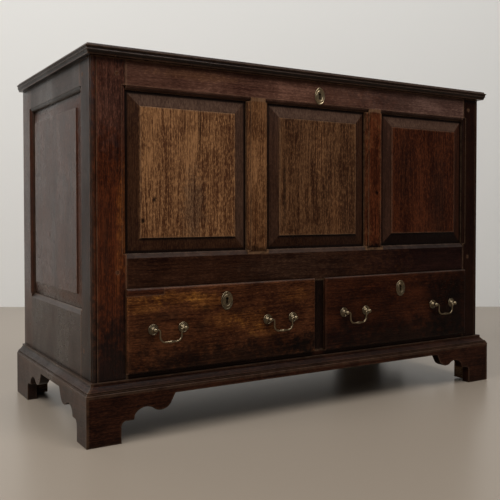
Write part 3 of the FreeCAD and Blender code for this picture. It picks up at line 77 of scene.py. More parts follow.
class OakSettings(PropertyGroup):
    """Colours and finish of the oak, and how soft its edges are."""
    golden: FloatVectorProperty(
        name="Golden oak", description="Faded boards of the front", subtype="COLOR",
        size=3, min=0, max=1, default=(0.190, 0.084, 0.034))
    brown: FloatVectorProperty(
        name="Brown oak", description="Middle tone of the front boards", subtype="COLOR",
        size=3, min=0, max=1, default=(0.100, 0.038, 0.014))
    russet: FloatVectorProperty(
        name="Red oak", description="Red-brown of the posts and rails", subtype="COLOR",
        size=3, min=0, max=1, default=(0.063, 0.0150, 0.0050))
    ember: FloatVectorProperty(
        name="Dark red oak", description="Darkest red of the front", subtype="COLOR",
        size=3, min=0, max=1, default=(0.026, 0.0080, 0.0045))
    # pitch also colours the painted shade in hollows and under overhangs
    pitch: FloatVectorProperty(
        name="Black oak", description="Old polish in the corners and on the base", subtype="COLOR",
        size=3, min=0, max=1, default=(0.0082, 0.0033, 0.0019))
    dry: FloatVectorProperty(
        name="Dry oak", description="Unpolished wood inside and at the back", subtype="COLOR",
        size=3, min=0, max=1, default=(0.235, 0.150, 0.085))
    # colour of the worn edges and of the painted highlight along them
    worn_and_highlit_edges: FloatVectorProperty(
        name="Worn edges", description="Wax and bare wood on rubbed edges", subtype="COLOR",
        size=3, min=0, max=1, default=(0.26, 0.16, 0.095))
    gloss: FloatProperty(
        name="Wax roughness", description="Roughness of the waxed faces", subtype="FACTOR",
        min=0.05, max=1, default=0.32)
    softness: FloatProperty(
        name="Softened edges", description="Width of the softened edges, against the usual",
        min=0.1, max=3, default=1)


class MetalSettings(PropertyGroup):
    """Colours and sizes of the fittings."""
    brass: FloatVectorProperty(
        name="Brass", description="Rubbed brass", subtype="COLOR",
        size=3, min=0, max=1, default=(0.33, 0.250, 0.152))
    tarnish: FloatVectorProperty(
        name="Tarnish", description="Brown-green film in the brass's hollows", subtype="COLOR",
        size=3, min=0, max=1, default=(0.026, 0.020, 0.011))
    iron: FloatVectorProperty(
        name="Iron", description="Forged iron", subtype="COLOR",
        size=3, min=0, max=1, default=(0.055, 0.050, 0.046))
    rust: FloatVectorProperty(
        name="Rust", description="Rust film on the iron", subtype="COLOR",
        size=3, min=0, max=1, default=(0.11, 0.045, 0.02))
    handle_height: FloatProperty(
        name="Handle height", description="Height of the handles' posts over the floor",
        unit="LENGTH", default=0.235)
    post_spacing: FloatProperty(
        name="Post spacing", description="Distance between a handle's two posts",
        unit="LENGTH", default=0.073)
    keyhole_height: FloatProperty(
        name="Keyhole height", description="Height of the drawers' keyhole plates over the floor",
        unit="LENGTH", default=0.287)


class StageSettings(PropertyGroup):
    """Camera, floor and light."""
    camera_place: FloatVectorProperty(
        name="Camera", description="Where the camera stands", subtype="TRANSLATION",
        unit="LENGTH", size=3, default=(-1.0926, -1.7300, 0.4891))
    camera_turn: FloatVectorProperty(
        name="Camera turn", description="Tilt, roll and turn of the camera", subtype="EULER",
        size=3, default=(math.radians(88.64), math.radians(0.03), math.radians(-31.48)))
    lens: FloatProperty(
        name="Lens", description="Focal length in millimetres", unit="CAMERA", default=51.97)
    rise: FloatProperty(
        name="Lens rise", description="Vertical shift of the lens", default=-0.039)
    floor_tone: FloatVectorProperty(
        name="Floor", description="Colour of the plain floor", subtype="COLOR",
        size=3, min=0, max=1, default=(0.345, 0.285, 0.225))
    wall_tone: FloatVectorProperty(
        name="Wall", description="Colour of the plain wall", subtype="COLOR",
        size=3, min=0, max=1, default=(0.80, 0.79, 0.76))
    key: FloatProperty(
        name="Key light", description="Power of the large soft light", unit="POWER", default=15)
    wash: FloatProperty(
        name="Wall light", description="Power of the light on the wall", unit="POWER", default=108)
    fill: FloatProperty(
        name="Room light", description="Strength of the light from all round", default=0.095)


# ---- working on meshes

WELD = 0.00001  # corners nearer to each other than this are one
FLAT = math.radians(0.5)  # faces that turn by less than this are one
SHARP = math.radians(32)  # edges that turn by more than this are arrises
TURNED_SHARP = math.radians(38)  # the same on turned brass


def deselect():
    """Leaves edit mode with nothing selected."""
    if bpy.context.object and bpy.context.object.mode != "OBJECT":
        bpy.ops.object.mode_set(mode="OBJECT")
    bpy.ops.object.select_all(action="DESELECT")


def take_up(piece):
    """Makes one object the only selected one."""
    deselect()
    piece.select_set(True)
    bpy.context.view_layer.objects.active = piece


def settle(piece):
    """Puts the piece's place into its mesh."""
    take_up(piece)
    bpy.ops.object.transform_apply(location=True, rotation=True, scale=True)


def apply_modifier(piece, kind, **settings):
    """Adds a modifier with these settings and applies it."""
    take_up(piece)
    bpy.ops.object.modifier_add(type=kind)
    modifier = piece.modifiers[-1]
    for name, value in settings.items():
        setattr(modifier, name, value)
    bpy.ops.object.modifier_apply(modifier=modifier.name)


def smooth(piece, sharp=SHARP):
    """Shades a piece smooth, but for the edges that turn by more than an angle."""
    take_up(piece)
    bpy.ops.object.shade_smooth_by_angle(angle=sharp)


def dress(piece, material, body):
    """Gives a piece its material and slot, and the body that it moves with."""
    piece.data.materials.clear()
    piece.data.materials.append(material)
    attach(piece, body)


def number_boards(piece, seed):
    """Gives every separate board of a piece its own value, so that no two share their figure."""
    dice = random.Random(seed)
    mesh = bmesh.new()
    mesh.from_mesh(piece.data)
    layer = mesh.verts.layers.float.new("board")
    seen = set()
    for start in mesh.verts:
        if start in seen:
            continue
        value, queue = dice.random(), [start]
        seen.add(start)
        while queue:
            vert = queue.pop()
            vert[layer] = value
            for edge in vert.link_edges:
                other = edge.other_vert(vert)
                if other not in seen:
                    seen.add(other)
                    queue.append(other)
    mesh.to_mesh(piece.data)
    mesh.free()


def work_boards(node, material, arris, seed):
    """Planes a copy of a node's boards: merged faces, and arrises softened by so many millimetres.
    The copy replaces the node."""
    softness = bpy.context.scene.mule_oak.softness
    source = NODES[node]
    piece = source.copy()
    piece.data = source.data.copy()
    piece.name = piece.data.name = f"worked_{node}"
    piece.parent = None
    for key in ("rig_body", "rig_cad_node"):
        if key in piece:
            del piece[key]
    bpy.context.collection.objects.link(piece)
    take_up(piece)
    bpy.ops.object.mode_set(mode="EDIT")
    bpy.ops.mesh.select_all(action="SELECT")
    bpy.ops.mesh.remove_doubles(threshold=WELD)
    bpy.ops.mesh.dissolve_limited(angle_limit=FLAT)
    bpy.ops.object.mode_set(mode="OBJECT")
    number_boards(piece, seed)
    apply_modifier(piece, "BEVEL", width=arris * softness * MM, segments=2, limit_method="ANGLE",
                   angle_limit=SHARP, use_clamp_overlap=True)
    smooth(piece)
    apply_modifier(piece, "WEIGHTED_NORMAL", mode="FACE_AREA", weight=50, keep_sharp=True)
    dress(piece, material, source["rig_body"])
    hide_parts(node)


# ---- colours

def mix(first, second, amount):
    """A colour that is so far from the first towards the second."""
    return tuple(a + (b - a) * amount for a, b in zip(first, second))


def shade(colour, amount):
    """A colour made so many times as bright."""
    return tuple(part * amount for part in colour)


def scaled(colour, parts):
    """A colour with each of its parts multiplied, and none past full."""
    return tuple(min(1.0, part * times) for part, times in zip(colour, parts))


# ---- node groups

def add(tree, kind, inputs=None, **settings):
    """A node with its settings, and its inputs either set or linked."""
    item = tree.nodes.new(kind)
    for name, value in settings.items():
        setattr(item, name, value)
    for key, value in (inputs or {}).items():
        if isinstance(value, bpy.types.NodeSocket):
            tree.links.new(value, item.inputs[key])
        else:
            item.inputs[key].default_value = value
    return item


def math_node(tree, operation, first, second=0.5, clamp=False):
    """The result of one sum on two values."""
    return add(tree, "ShaderNodeMath", {0: first, 1: second}, operation=operation,
               use_clamp=clamp).outputs[0]


def ramp(tree, value, low, high, start=0.0, end=1.0):
    """Maps low..high to start..end, and holds outside."""
    return add(tree, "ShaderNodeMapRange",
               {"Value": value, "From Min": low, "From Max": high, "To Min": start, "To Max": end},
               clamp=True, interpolation_type="SMOOTHSTEP").outputs["Result"]


def blend_colours(tree, amount, first, second, kind="MIX"):
    """The second colour laid over the first by an amount."""
    return add(tree, "ShaderNodeMix", {0: amount, 6: first, 7: second}, data_type="RGBA",
               blend_type=kind).outputs[2]


def stretch(tree, vector, scale, place=(0, 0, 0)):
    """A vector scaled along its axes and moved."""
    return add(tree, "ShaderNodeMapping",
               {"Vector": vector, "Scale": scale, "Location": place}).outputs[0]


def noise(tree, vector, scale, detail, roughness=0.55, distortion=0.0):
    """Noise with so many swings to the metre along each axis."""
    return add(tree, "ShaderNodeTexNoise",
               {"Vector": stretch(tree, vector, scale), "Scale": 1.0, "Detail": detail,
                "Roughness": roughness, "Distortion": distortion})


def new_group(name, inputs, outputs):
    """An empty node group, with its input and output nodes."""
    group = bpy.data.node_groups.new(name, "ShaderNodeTree")
    for label, kind, default in inputs:
        socket = group.interface.new_socket(label, in_out="INPUT", socket_type=kind)
        if default is not None:
            socket.default_value = default
    for label, kind in outputs:
        group.interface.new_socket(label, in_out="OUTPUT", socket_type=kind)
    return group, group.nodes.new("NodeGroupInput"), group.nodes.new("NodeGroupOutput")


VECTOR, FLOAT, COLOUR = "NodeSocketVector", "NodeSocketFloat", "NodeSocketColor"


def oak_figure():
    """Oak seen along its grain, which runs along the incoming vector's X."""
    group, given, made = new_group(
        "Oak figure",
        [("Vector", VECTOR, None), ("Board", FLOAT, 0.0), ("Light", COLOUR, (0.2, 0.1, 0.04, 1)),
         ("Tone", COLOUR, (0.1, 0.04, 0.02, 1)), ("Dark", COLOUR, (0.02, 0.01, 0.005, 1)),
         ("Figure", FLOAT, 1.0), ("Flecks", FLOAT, 0.4), ("Mottle", FLOAT, 0.4)],
        [("Color", COLOUR), ("Height", FLOAT), ("Shine", FLOAT)])
    board = given.outputs["Board"]
    shift = add(group, "ShaderNodeCombineXYZ", {
        "X": math_node(group, "MULTIPLY", board, 37.0),
        "Y": math_node(group, "MULTIPLY", board, 11.0),
        "Z": math_node(group, "MULTIPLY", board, 23.0)}).outputs[0]
    base = add(group, "ShaderNodeVectorMath", {0: given.outputs["Vector"], 1: shift},
               operation="ADD").outputs[0]
    sway = noise(group, base, (2.2, 6, 6), detail=2).outputs["Color"]
    sway = add(group, "ShaderNodeVectorMath", {0: sway, 1: (0.0, 0.03, 0.03)},
               operation="MULTIPLY").outputs[0]
    grain = add(group, "ShaderNodeVectorMath", {0: base, 1: sway}, operation="ADD").outputs[0]
    broad = noise(group, grain, (1.1, 22, 22), detail=3).outputs["Fac"]
    rings = noise(group, grain, (5, 380, 380), detail=3, roughness=0.7).outputs["Fac"]
    dashes = noise(group, grain, (110, 420, 420), detail=2, roughness=0.7).outputs["Fac"]
    pores = ramp(group, noise(group, grain, (60, 620, 620), detail=1).outputs["Fac"], 0.56, 0.70)
    rays = noise(group, grain, (70, 190, 190), detail=2, distortion=0.3).outputs["Fac"]
    rays = ramp(group, rays, 0.58, 0.72)
    clouds = noise(group, base, (11, 16, 16), detail=5, roughness=0.62,
                   distortion=0.5).outputs["Fac"]
    tone = math_node(group, "ADD", ramp(group, broad, 0.3, 0.7, -0.16, 0.16),
                     ramp(group, rings, 0.36, 0.64, -0.30, 0.30))
    tone = math_node(group, "ADD", tone, ramp(group, dashes, 0.44, 0.68, -0.14, 0.5))
    tone = math_node(group, "MULTIPLY", tone, given.outputs["Figure"])
    cloud = math_node(group, "MULTIPLY", ramp(group, clouds, 0.3, 0.7, -0.6, 0.6),
                      given.outputs["Mottle"])
    tone = math_node(group, "ADD", tone, cloud)
    tone = math_node(group, "ADD", tone, ramp(group, board, 0.0, 1.0, 0.43, 0.53), clamp=True)
    colour = blend_colours(group, ramp(group, tone, 0.0, 0.5), given.outputs["Dark"],
                           given.outputs["Tone"])
    colour = blend_colours(group, ramp(group, tone, 0.5, 1.0), colour, given.outputs["Light"])
    fleck = math_node(group, "MULTIPLY", rays, given.outputs["Flecks"])
    colour = blend_colours(group, fleck, colour, given.outputs["Light"])
    dark_pore = math_node(group, "MULTIPLY", pores, 0.4)
    colour = blend_colours(group, dark_pore, colour, given.outputs["Dark"])
    height = math_node(group, "SUBTRACT", math_node(group, "MULTIPLY", rings, 0.5),
                       math_node(group, "MULTIPLY", pores, 0.5))
    height = math_node(group, "ADD", height, math_node(group, "MULTIPLY", dashes, 0.25))
    group.links.new(colour, made.inputs["Color"])
    group.links.new(height, made.inputs["Height"])
    group.links.new(math_node(group, "SUBTRACT", rays, pores), made.inputs["Shine"])
    return group


def patch_group():
    """A soft-edged, ragged patch about a place."""
    group, given, made = new_group(
        "Patch", [("Vector", VECTOR, None), ("Centre", VECTOR, None), ("Size", VECTOR, None)],
        [("Mask", FLOAT)])
    place = given.outputs["Vector"]
    offset = add(group, "ShaderNodeVectorMath", {0: place, 1: given.outputs["Centre"]},
                 operation="SUBTRACT").outputs[0]
    share = add(group, "ShaderNodeVectorMath", {0: offset, 1: given.outputs["Size"]},
                operation="DIVIDE").outputs[0]
    far = add(group, "ShaderNodeVectorMath", {0: share}, operation="LENGTH").outputs["Value"]
    ragged = noise(group, place, (60, 60, 60), detail=4, roughness=0.65).outputs["Fac"]
    far = math_node(group, "ADD", far, ramp(group, ragged, 0.25, 0.75, -0.3, 0.3))
    group.links.new(ramp(group, far, 1.0, 0.25), made.inputs["Mask"])
    return group


ONSET = 0.93  # how open an edge is where its wear and painted highlight begin, from 0 to 1


def age_group():
    """Where the surface is worn and given a painted highlight on its edges, where dirt and a
    painted shade darken hollows, cracks and faces turned down, where dusty dirt and a painted sheen
    lie on faces turned up, and how the wax is smeared.
    """
    group, given, made = new_group(
        "Age", [("Vector", VECTOR, None), ("Onset", FLOAT, ONSET)],
        [("Rubbed_and_highlit", FLOAT), ("Shade_and_grime", FLOAT), ("Dust_and_sheen", FLOAT), ("Smears", FLOAT)])
    edge = add(group, "ShaderNodeAmbientOcclusion", {"Distance": 0.005}, samples=6, inside=True,
               only_local=True).outputs["AO"]
    # painted shade: ambient occlusion darkens hollows and the undersides of overhangs, such as
    # under the lid
    hollow = add(group, "ShaderNodeAmbientOcclusion", {"Distance": 0.03}, samples=6).outputs["AO"]
    crack = add(group, "ShaderNodeAmbientOcclusion", {"Distance": 0.004}, samples=6).outputs["AO"]
    place = given.outputs["Vector"]
    patch = noise(group, place, (60, 60, 60), detail=5, roughness=0.7).outputs["Fac"]
    smear = noise(group, place, (7, 9, 5), detail=4, distortion=0.3).outputs["Fac"]
    # edge wear with a painted highlight: light grey-tan lines along the arrises
    rubbed_and_highlit = math_node(group, "MULTIPLY", ramp(group, edge, given.outputs["Onset"], 0.62),
                       ramp(group, patch, 0.32, 0.62, 0.3, 1.0))
    normal = add(group, "ShaderNodeNewGeometry").outputs["Normal"]
    up = add(group, "ShaderNodeSeparateXYZ", {0: normal}).outputs["Z"]
    # painted shade with some dirt: darker in hollows, on faces turned down and along fine cracks
    # and joints
    under = math_node(group, "MAXIMUM", ramp(group, hollow, 0.97, 0.45),
                      ramp(group, up, -0.05, -0.45, 0.0, 0.95))
    under = math_node(group, "MAXIMUM", under, ramp(group, crack, 0.92, 0.5))
    shade_and_grime = math_node(group, "MULTIPLY", under, ramp(group, patch, 0.2, 0.7, 0.75, 1.0))
    # dusty dirt with a painted sheen: faces turned up are made lighter and greyer
    dust_and_sheen = math_node(group, "MULTIPLY", ramp(group, up, 0.3, 0.9),
                     ramp(group, patch, 0.3, 0.7, 0.4, 1.0))
    for label, value in (("Rubbed_and_highlit", rubbed_and_highlit), ("Shade_and_grime", shade_and_grime), ("Dust_and_sheen", dust_and_sheen), ("Smears", smear)):
        group.links.new(value, made.inputs[label])
    return group


GROUPS = {}


def shared(name):
    """A node group, built the first time it is asked for."""
    makers = {"figure": oak_figure, "age": age_group, "patch": patch_group}
    if name not in GROUPS:
        GROUPS[name] = makers[name]()
    return GROUPS[name]


# ---- finishes

TURN = {"x": (0, 0, 0), "y": (0, 0, math.radians(90)), "z": (0, math.radians(90), 0)}
SHIFT = (3.1, 1.7, 2.3)  # how far a material's seed moves its figure
LIGHTER = (2.1, 2.3, 2.4)  # the light wood against a board's own tone
DARKER = (0.36, 0.27, 0.27)  # the dark wood against it
SHADE_AND_GRIME = 0.85  # how black the painted shade and dirt are in corners, hollows and undersides
# grey of the dusty dirt and of the painted sheen on faces turned up
DUST_AND_SHEEN = (0.19, 0.16, 0.135, 1)
# painted light on bevels facing up, left and right, and painted shadow on bevels facing down, in
# the rim and under the field
PAINTED_GREY_LIGHT = (0.110, 0.062, 0.042)
PAINTED_SHADOW = (0.0035, 0.0011, 0.0007)
COVER = 0.6  # how far each film, of polish and of painted highlight and shadow, hides the wood's own figure
TILT = (0.03, 0.12)  # how far a bevel turns before the painted light on it begins, and is full
STEP = (0.0014, 0.0026)  # how deep the painted shadow under a panel's field is full, and has gone
RIM = (0.0060, 0.0068)  # how deep the painted shadow in a panel's rim begins, and is full


def sunk(axis, plane, deeper, amount, top=0.0, left=0.0, right=0.0, below=0.0, rim=0.0):
    """Old polish on what lies deeper than a plane, such as the bevels of a raised panel; how far
    the bevels that face up, left and right take a painted grey highlight, those that face down a
    painted black shadow, and how black the painted shadow is in the rim and under the field."""
    bevel_tints = (("Z", 1, top, PAINTED_GREY_LIGHT), ("X", -1, left, PAINTED_GREY_LIGHT), ("X", 1, right, PAINTED_GREY_LIGHT),
             ("Z", -1, below, PAINTED_SHADOW))
    return axis, plane, deeper, amount, bevel_tints, rim


def stain(tree, colour, tone, film, amount):
    """Turns a board of one tone towards the colour of a film, and keeps its figure."""
    change = tuple(new / old for new, old in zip(film, tone))
    return blend_colours(tree, amount, colour, (*change, 1), kind="MULTIPLY")


def lay_polish_and_painted_light(tree, colour, tone, place, bevels):
    """Lays the old polish, and the painted highlight and shadow, that sunk describes over a board's
    colour.
    """
    settings = bpy.context.scene.mule_oak
    axis, plane, deeper, amount, painted_light_by_facing, rim = bevels
    depth = add(tree, "ShaderNodeSeparateXYZ", {0: place}).outputs[axis]
    if axis == "X":
        depth = math_node(tree, "ABSOLUTE", depth)
    low = ramp(tree, depth, plane, plane + deeper)
    normal = add(tree, "ShaderNodeNewGeometry").outputs["True Normal"]
    facing = add(tree, "ShaderNodeSeparateXYZ", {0: normal}).outputs
    bevel_tints = [(math_node(tree, "MULTIPLY", low, amount), mix(settings.russet, settings.pitch, 0.75))]
    # painted highlight and shadow by which way a bevel faces
    for side, way, much, film in painted_light_by_facing:
        if much:
            turned_there = ramp(tree, facing[side], way * TILT[0], way * TILT[1], 0.0, much)
            bevel_tints.append((math_node(tree, "MULTIPLY", low, turned_there), film))
    bare = colour
    for mask, film in bevel_tints:
        laid = stain(tree, bare, tone, film, 1.0)
        laid = blend_colours(tree, COVER, laid, (*film, 1))
        colour = blend_colours(tree, mask, colour, laid)
    # painted shadow in the rim and under the step of the field
    if rim:
        below = ramp(tree, facing["Z"], -TILT[0], -TILT[1])
        under = ramp(tree, depth, plane + STEP[1], plane + STEP[0])
        line = math_node(tree, "MAXIMUM", math_node(tree, "MULTIPLY", below, under),
                         ramp(tree, depth, plane + RIM[0], plane + RIM[1]))
        colour = blend_colours(tree, math_node(tree, "MULTIPLY", line, rim), colour, (*PAINTED_SHADOW, 1))
    return colour


def oak(name, tone, grain, seed, figure=1.0, flecks=0.3, mottle=0.3, rough=None, rub_and_highlight=0.4, dust_and_sheen=0.2,
        rise=1.0, shine=0.1, marks=(), bevels=None, smears=0.1, onset=ONSET):
    """A waxed oak. Grain is the axis that the fibres follow, marks are rows of centre, size, colour
    and amount, and bevels are what sunk gives."""
    settings = bpy.context.scene.mule_oak
    rough = settings.gloss if rough is None else rough
    light, dark = scaled(tone, LIGHTER), scaled(tone, DARKER)
    material = bpy.data.materials.new(name)
    material.use_nodes = True
    tree = material.node_tree
    shader = tree.nodes["Principled BSDF"]
    place = add(tree, "ShaderNodeTexCoord").outputs["Object"]
    along = add(tree, "ShaderNodeMapping", {"Vector": place, "Rotation": TURN[grain],
                                            "Location": shade(SHIFT, seed)}).outputs[0]
    board = add(tree, "ShaderNodeAttribute", attribute_name="board").outputs["Fac"]
    wood = add(tree, "ShaderNodeGroup", node_tree=shared("figure"))
    for key, value in (("Vector", along), ("Board", board)):
        tree.links.new(value, wood.inputs[key])
    for key, value in (("Light", (*light, 1)), ("Tone", (*tone, 1)), ("Dark", (*dark, 1)),
                       ("Figure", figure), ("Flecks", flecks), ("Mottle", mottle)):
        wood.inputs[key].default_value = value
    age = add(tree, "ShaderNodeGroup", node_tree=shared("age"))
    tree.links.new(place, age.inputs["Vector"])
    age.inputs["Onset"].default_value = onset
    colour = wood.outputs["Color"]
    for centre, size, film, amount in marks:
        patch = add(tree, "ShaderNodeGroup", node_tree=shared("patch"))
        tree.links.new(place, patch.inputs["Vector"])
        patch.inputs["Centre"].default_value = centre
        patch.inputs["Size"].default_value = size
        mask = math_node(tree, "MULTIPLY", patch.outputs["Mask"], amount)
        colour = stain(tree, colour, tone, film, mask)
    if bevels:
        colour = lay_polish_and_painted_light(tree, colour, tone, place, bevels)
    # painted shade with dirt in hollows and under overhangs, painted highlight with wear on edges,
    # and dusty dirt with a painted sheen on faces turned up
    for mask, amount, film in (("Shade_and_grime", SHADE_AND_GRIME, (*shade(settings.pitch, 0.5), 1)),
                               ("Rubbed_and_highlit", rub_and_highlight, (*mix(light, settings.worn_and_highlit_edges, 0.6), 1)),
                               ("Dust_and_sheen", dust_and_sheen, DUST_AND_SHEEN)):
        laid = math_node(tree, "MULTIPLY", age.outputs[mask], amount)
        colour = blend_colours(tree, laid, colour, film)
    tree.links.new(colour, shader.inputs["Base Color"])
    smeared = ramp(tree, age.outputs["Smears"], 0.3, 0.7, rough - smears / 2, rough + smears)
    rays = math_node(tree, "MULTIPLY", wood.outputs["Shine"], -0.05)
    dulled = math_node(tree, "MULTIPLY", age.outputs["Dust_and_sheen"], 0.2)
    gloss = math_node(tree, "ADD", smeared, rays)
    gloss = math_node(tree, "ADD", gloss, dulled, clamp=True)
    tree.links.new(gloss, shader.inputs["Roughness"])
    wave = noise(tree, place, (11, 11, 9), detail=2).outputs["Fac"]
    lumps = add(tree, "ShaderNodeBump", {"Height": wave, "Strength": 0.15, "Distance": 0.004})
    pits = add(tree, "ShaderNodeBump",
               {"Height": wood.outputs["Height"], "Normal": lumps.outputs[0],
                "Strength": 0.4 * rise, "Distance": 0.0005})
    tree.links.new(pits.outputs[0], shader.inputs["Normal"])
    shader.inputs["Specular IOR Level"].default_value = shine
    return material


def metal(name, bright, film, polish, seed, filmed):
    """Old metal: bright where it is handled, filmed in its hollows."""
    material = bpy.data.materials.new(name)
    material.use_nodes = True
    tree = material.node_tree
    shader = tree.nodes["Principled BSDF"]
    place = add(tree, "ShaderNodeTexCoord").outputs["Object"]
    moved = stretch(tree, place, (1, 1, 1), (seed, seed * 0.7, seed * 0.3))
    age = add(tree, "ShaderNodeGroup", node_tree=shared("age"))
    tree.links.new(place, age.inputs["Vector"])
    spots = noise(tree, moved, (420, 420, 420), detail=4, roughness=0.65).outputs["Fac"]
    blots = noise(tree, moved, (130, 130, 130), detail=3).outputs["Fac"]
    # tarnish in the hollows, and painted shade on faces turned down, taken from the age group
    shade_and_grime = math_node(tree, "MULTIPLY", age.outputs["Shade_and_grime"], 0.8)
    handled = math_node(tree, "MULTIPLY", age.outputs["Rubbed_and_highlit"], 0.75)
    spotted = ramp(tree, spots, 0.3, 0.7, 0.0, filmed)
    blotted = ramp(tree, blots, 0.35, 0.65, -0.2, filmed * 0.5)
    mask = math_node(tree, "ADD", shade_and_grime, spotted, clamp=True)
    mask = math_node(tree, "ADD", mask, blotted, clamp=True)
    mask = math_node(tree, "SUBTRACT", mask, handled, clamp=True)
    colour = blend_colours(tree, mask, (*bright, 1), (*film, 1))
    tree.links.new(colour, shader.inputs["Base Color"])
    tree.links.new(ramp(tree, mask, 0.2, 1.0, 1.0, 0.45), shader.inputs["Metallic"])
    tree.links.new(ramp(tree, mask, 0.0, 1.0, polish, polish + 0.3), shader.inputs["Roughness"])
    bump = add(tree, "ShaderNodeBump", {"Height": spots, "Strength": 0.3, "Distance": 0.0003})
    tree.links.new(bump.outputs[0], shader.inputs["Normal"])
    return material


# ---- operators

FRONT = -0.2684  # the plane of the posts and rails
DRAWER_FACE = -0.2784  # the plane of the drawer fronts
FIELD_DEPTH = 0.0035  # how far behind the posts the bevels of the front panels begin
SIDE_BEVELS = 0.578  # how far out the bevels of the side panels begin
POLISHED = 0.002  # how much deeper the old polish is full
MARK_DEPTH = 0.05  # how far a mark reaches into the wood


def spot(x, z, wide, tall, colour, amount):
    """A mark on the front, in millimetres across and up."""
    return (x * MM, FRONT, z * MM), (wide * MM, MARK_DEPTH, tall * MM), colour, amount


class UndoableOperator:
    """What every operator of the chest shares."""
    bl_options = {"REGISTER", "UNDO"}


class MULECHEST_OT_frame(UndoableOperator, Operator):
    """Works the posts, rails and muntins of the front, and the pegs that pin them"""
    bl_idname = "mule_chest.frame"
    bl_label = "Front frame"

    def execute(self, context):
        c = context.scene.mule_oak
        streaks = [spot(-530, 624, 7, 60, c.pitch, 0.6), spot(-555, 420, 9, 150, c.pitch, 0.4),
                   spot(-511, 480, 24, 150, (0.120, 0.034, 0.0065), 0.9),
                   spot(-530, 360, 7, 90, (0.090, 0.022, 0.005), 0.6),
                   spot(-540, 740, 80, 150, (0.064, 0.0240, 0.0150), 0.8),
                   spot(-545, 120, 200, 215, (0.009, 0.0024, 0.0014), 1.0),
                   ((-0.586, -0.23, 0.46), (0.012, 0.09, 1.2), c.pitch, 0.85)]  # the side face
        rail_top = [spot(-330, 800, 160, 16, c.golden, 0.3), spot(-150, 820, 300, 14, c.ember, 0.4),
                    spot(440, 790, 460, 200, (0.078, 0.040, 0.030), 0.9)]
        rail_middle = [spot(-60, 360, 220, 60, (0.038, 0.0170, 0.0095), 0.8),
                       spot(480, 360, 420, 300, (0.013, 0.0040, 0.0028), 1.0)]
        muntins = [spot(-174, 600, 30, 90, c.golden, 0.5), spot(-180, 470, 12, 50, c.brown, 0.5),
                   spot(198, 543, 7, 9, c.pitch, 0.95), spot(190, 620, 12, 120, c.pitch, 0.4),
                   spot(190, 550, 60, 600, shade(c.russet, 0.9), 1.0),
                   spot(-174, 764, 60, 20, shade(c.brown, 0.6), 0.7),
                   spot(190, 764, 60, 20, c.pitch, 0.5),
                   spot(-174, 396, 60, 24, shade(c.brown, 0.25), 1.0),
                   spot(190, 396, 60, 26, c.pitch, 1.0)]
        faded = shade(mix(c.brown, c.golden, 0.35), 0.8)
        black = shade(mix(c.russet, c.pitch, 0.75), 0.6)
        boards = {  # each board's tone, grain, figure, edge wear with painted highlight, shine and marks
            "corner_post_front_left": ((0.050, 0.0105, 0.0026), "z", 1.0, 0.6, 0.2, streaks),
            "corner_post_front_right": (black, "z", 0.5, 0.6, 0.08, ()),
            "front_top_rail": ((0.104, 0.045, 0.029), "x", 0.5, 0.6, 0.08, rail_top),
            "front_middle_rail": ((0.031, 0.0108, 0.0050), "x", 0.7, 0.2, 0.08, rail_middle),
            "front_bottom_rail": (mix(c.russet, c.pitch, 0.7), "x", 0.5, 0.6, 0.08, ()),
            "front_muntins": (faded, "z", 1.0, 0.6, 0.08, muntins),
            "drawer_divider": (c.pitch, "z", 1.0, 0.6, 0.08, ()),
        }
        for number, (node, looks) in enumerate(boards.items()):
            tone, grain, figure, wear_and_highlight, shine, marks = looks
            material = oak(f"Oak of {node}", tone, grain, figure=figure, mottle=0.4, rub_and_highlight=wear_and_highlight,
                           shine=shine, seed=number * 1.3, marks=marks)
            work_boards(node, material, arris=0.8, seed=number)
        peg = oak("Oak pegs", mix(c.russet, c.pitch, 0.4), "y", seed=9)
        work_boards("joint_pegs", peg, arris=0.4, seed=20)
        rear = oak("Oak of rear posts", mix(c.russet, c.pitch, 0.5), "z", figure=0.6, rough=0.3,
                   shine=0.35, seed=8)
        work_boards("corner_posts_rear", rear, arris=0.8, seed=21)
        return {"FINISHED"}


class MULECHEST_OT_panels(UndoableOperator, Operator):
    """Works the raised panels of the front"""
    bl_idname = "mule_chest.panels"
    bl_label = "Front panels"

    def execute(self, context):
        c = context.scene.mule_oak
        left = [spot(-443, 520, 6, 8, c.pitch, 0.95), spot(-470, 472, 6, 7, c.pitch, 0.95),
                spot(-330, 690, 6, 90, c.pitch, 0.5), spot(-400, 640, 40, 110, c.golden, 0.4),
                spot(-280, 560, 18, 150, c.golden, 0.3),
                spot(-345, 500, 40, 120, (0.085, 0.046, 0.026), 0.6),
                spot(-440, 440, 60, 20, c.brown, 0.4)]
        centre = [spot(-97, 540, 6, 130, c.pitch, 0.65), spot(10, 640, 30, 120, c.golden, 0.3),
                  spot(60, 480, 30, 90, c.brown, 0.4)]
        right = [spot(300, 600, 30, 150, c.pitch, 0.35), spot(430, 520, 50, 180, c.pitch, 0.5)]
        faded = shade(mix(mix(c.golden, c.brown, 0.85), c.dry, 0.06), 0.68)
        boards = {  # each panel's tone, marks and what sunk asks about its bevels
            # after the polish: painted highlight on bevels facing up, left and right, painted
            # shadow on those facing down, in the rim and under the field
            "left": (shade(c.golden, 0.9), left, (0.9, 0.75, 0.02, 0.33, 0.0, 0.9)),
            "centre": (faded, centre, (0.85, 0.75, 0.15, 0.03, 0.3, 0.9)),
            "right": (shade(c.russet, 0.72), right, (0.8, 0.7, 0.2, 0.02, 0.9, 0.9)),
        }
        for number, (side, (tone, marks, bevel_tints)) in enumerate(boards.items()):
            material = oak(f"Oak of {side} panel", tone, "z", figure=1.2, flecks=0.6, mottle=0.25,
                           seed=12 + number * 2.1, marks=marks, onset=0.99, rub_and_highlight=0.7, shine=0.12,
                           bevels=sunk("Y", FRONT + FIELD_DEPTH, POLISHED, *bevel_tints))
            work_boards(f"front_panel_{side}", material, arris=0.7, seed=30 + number)
        return {"FINISHED"}


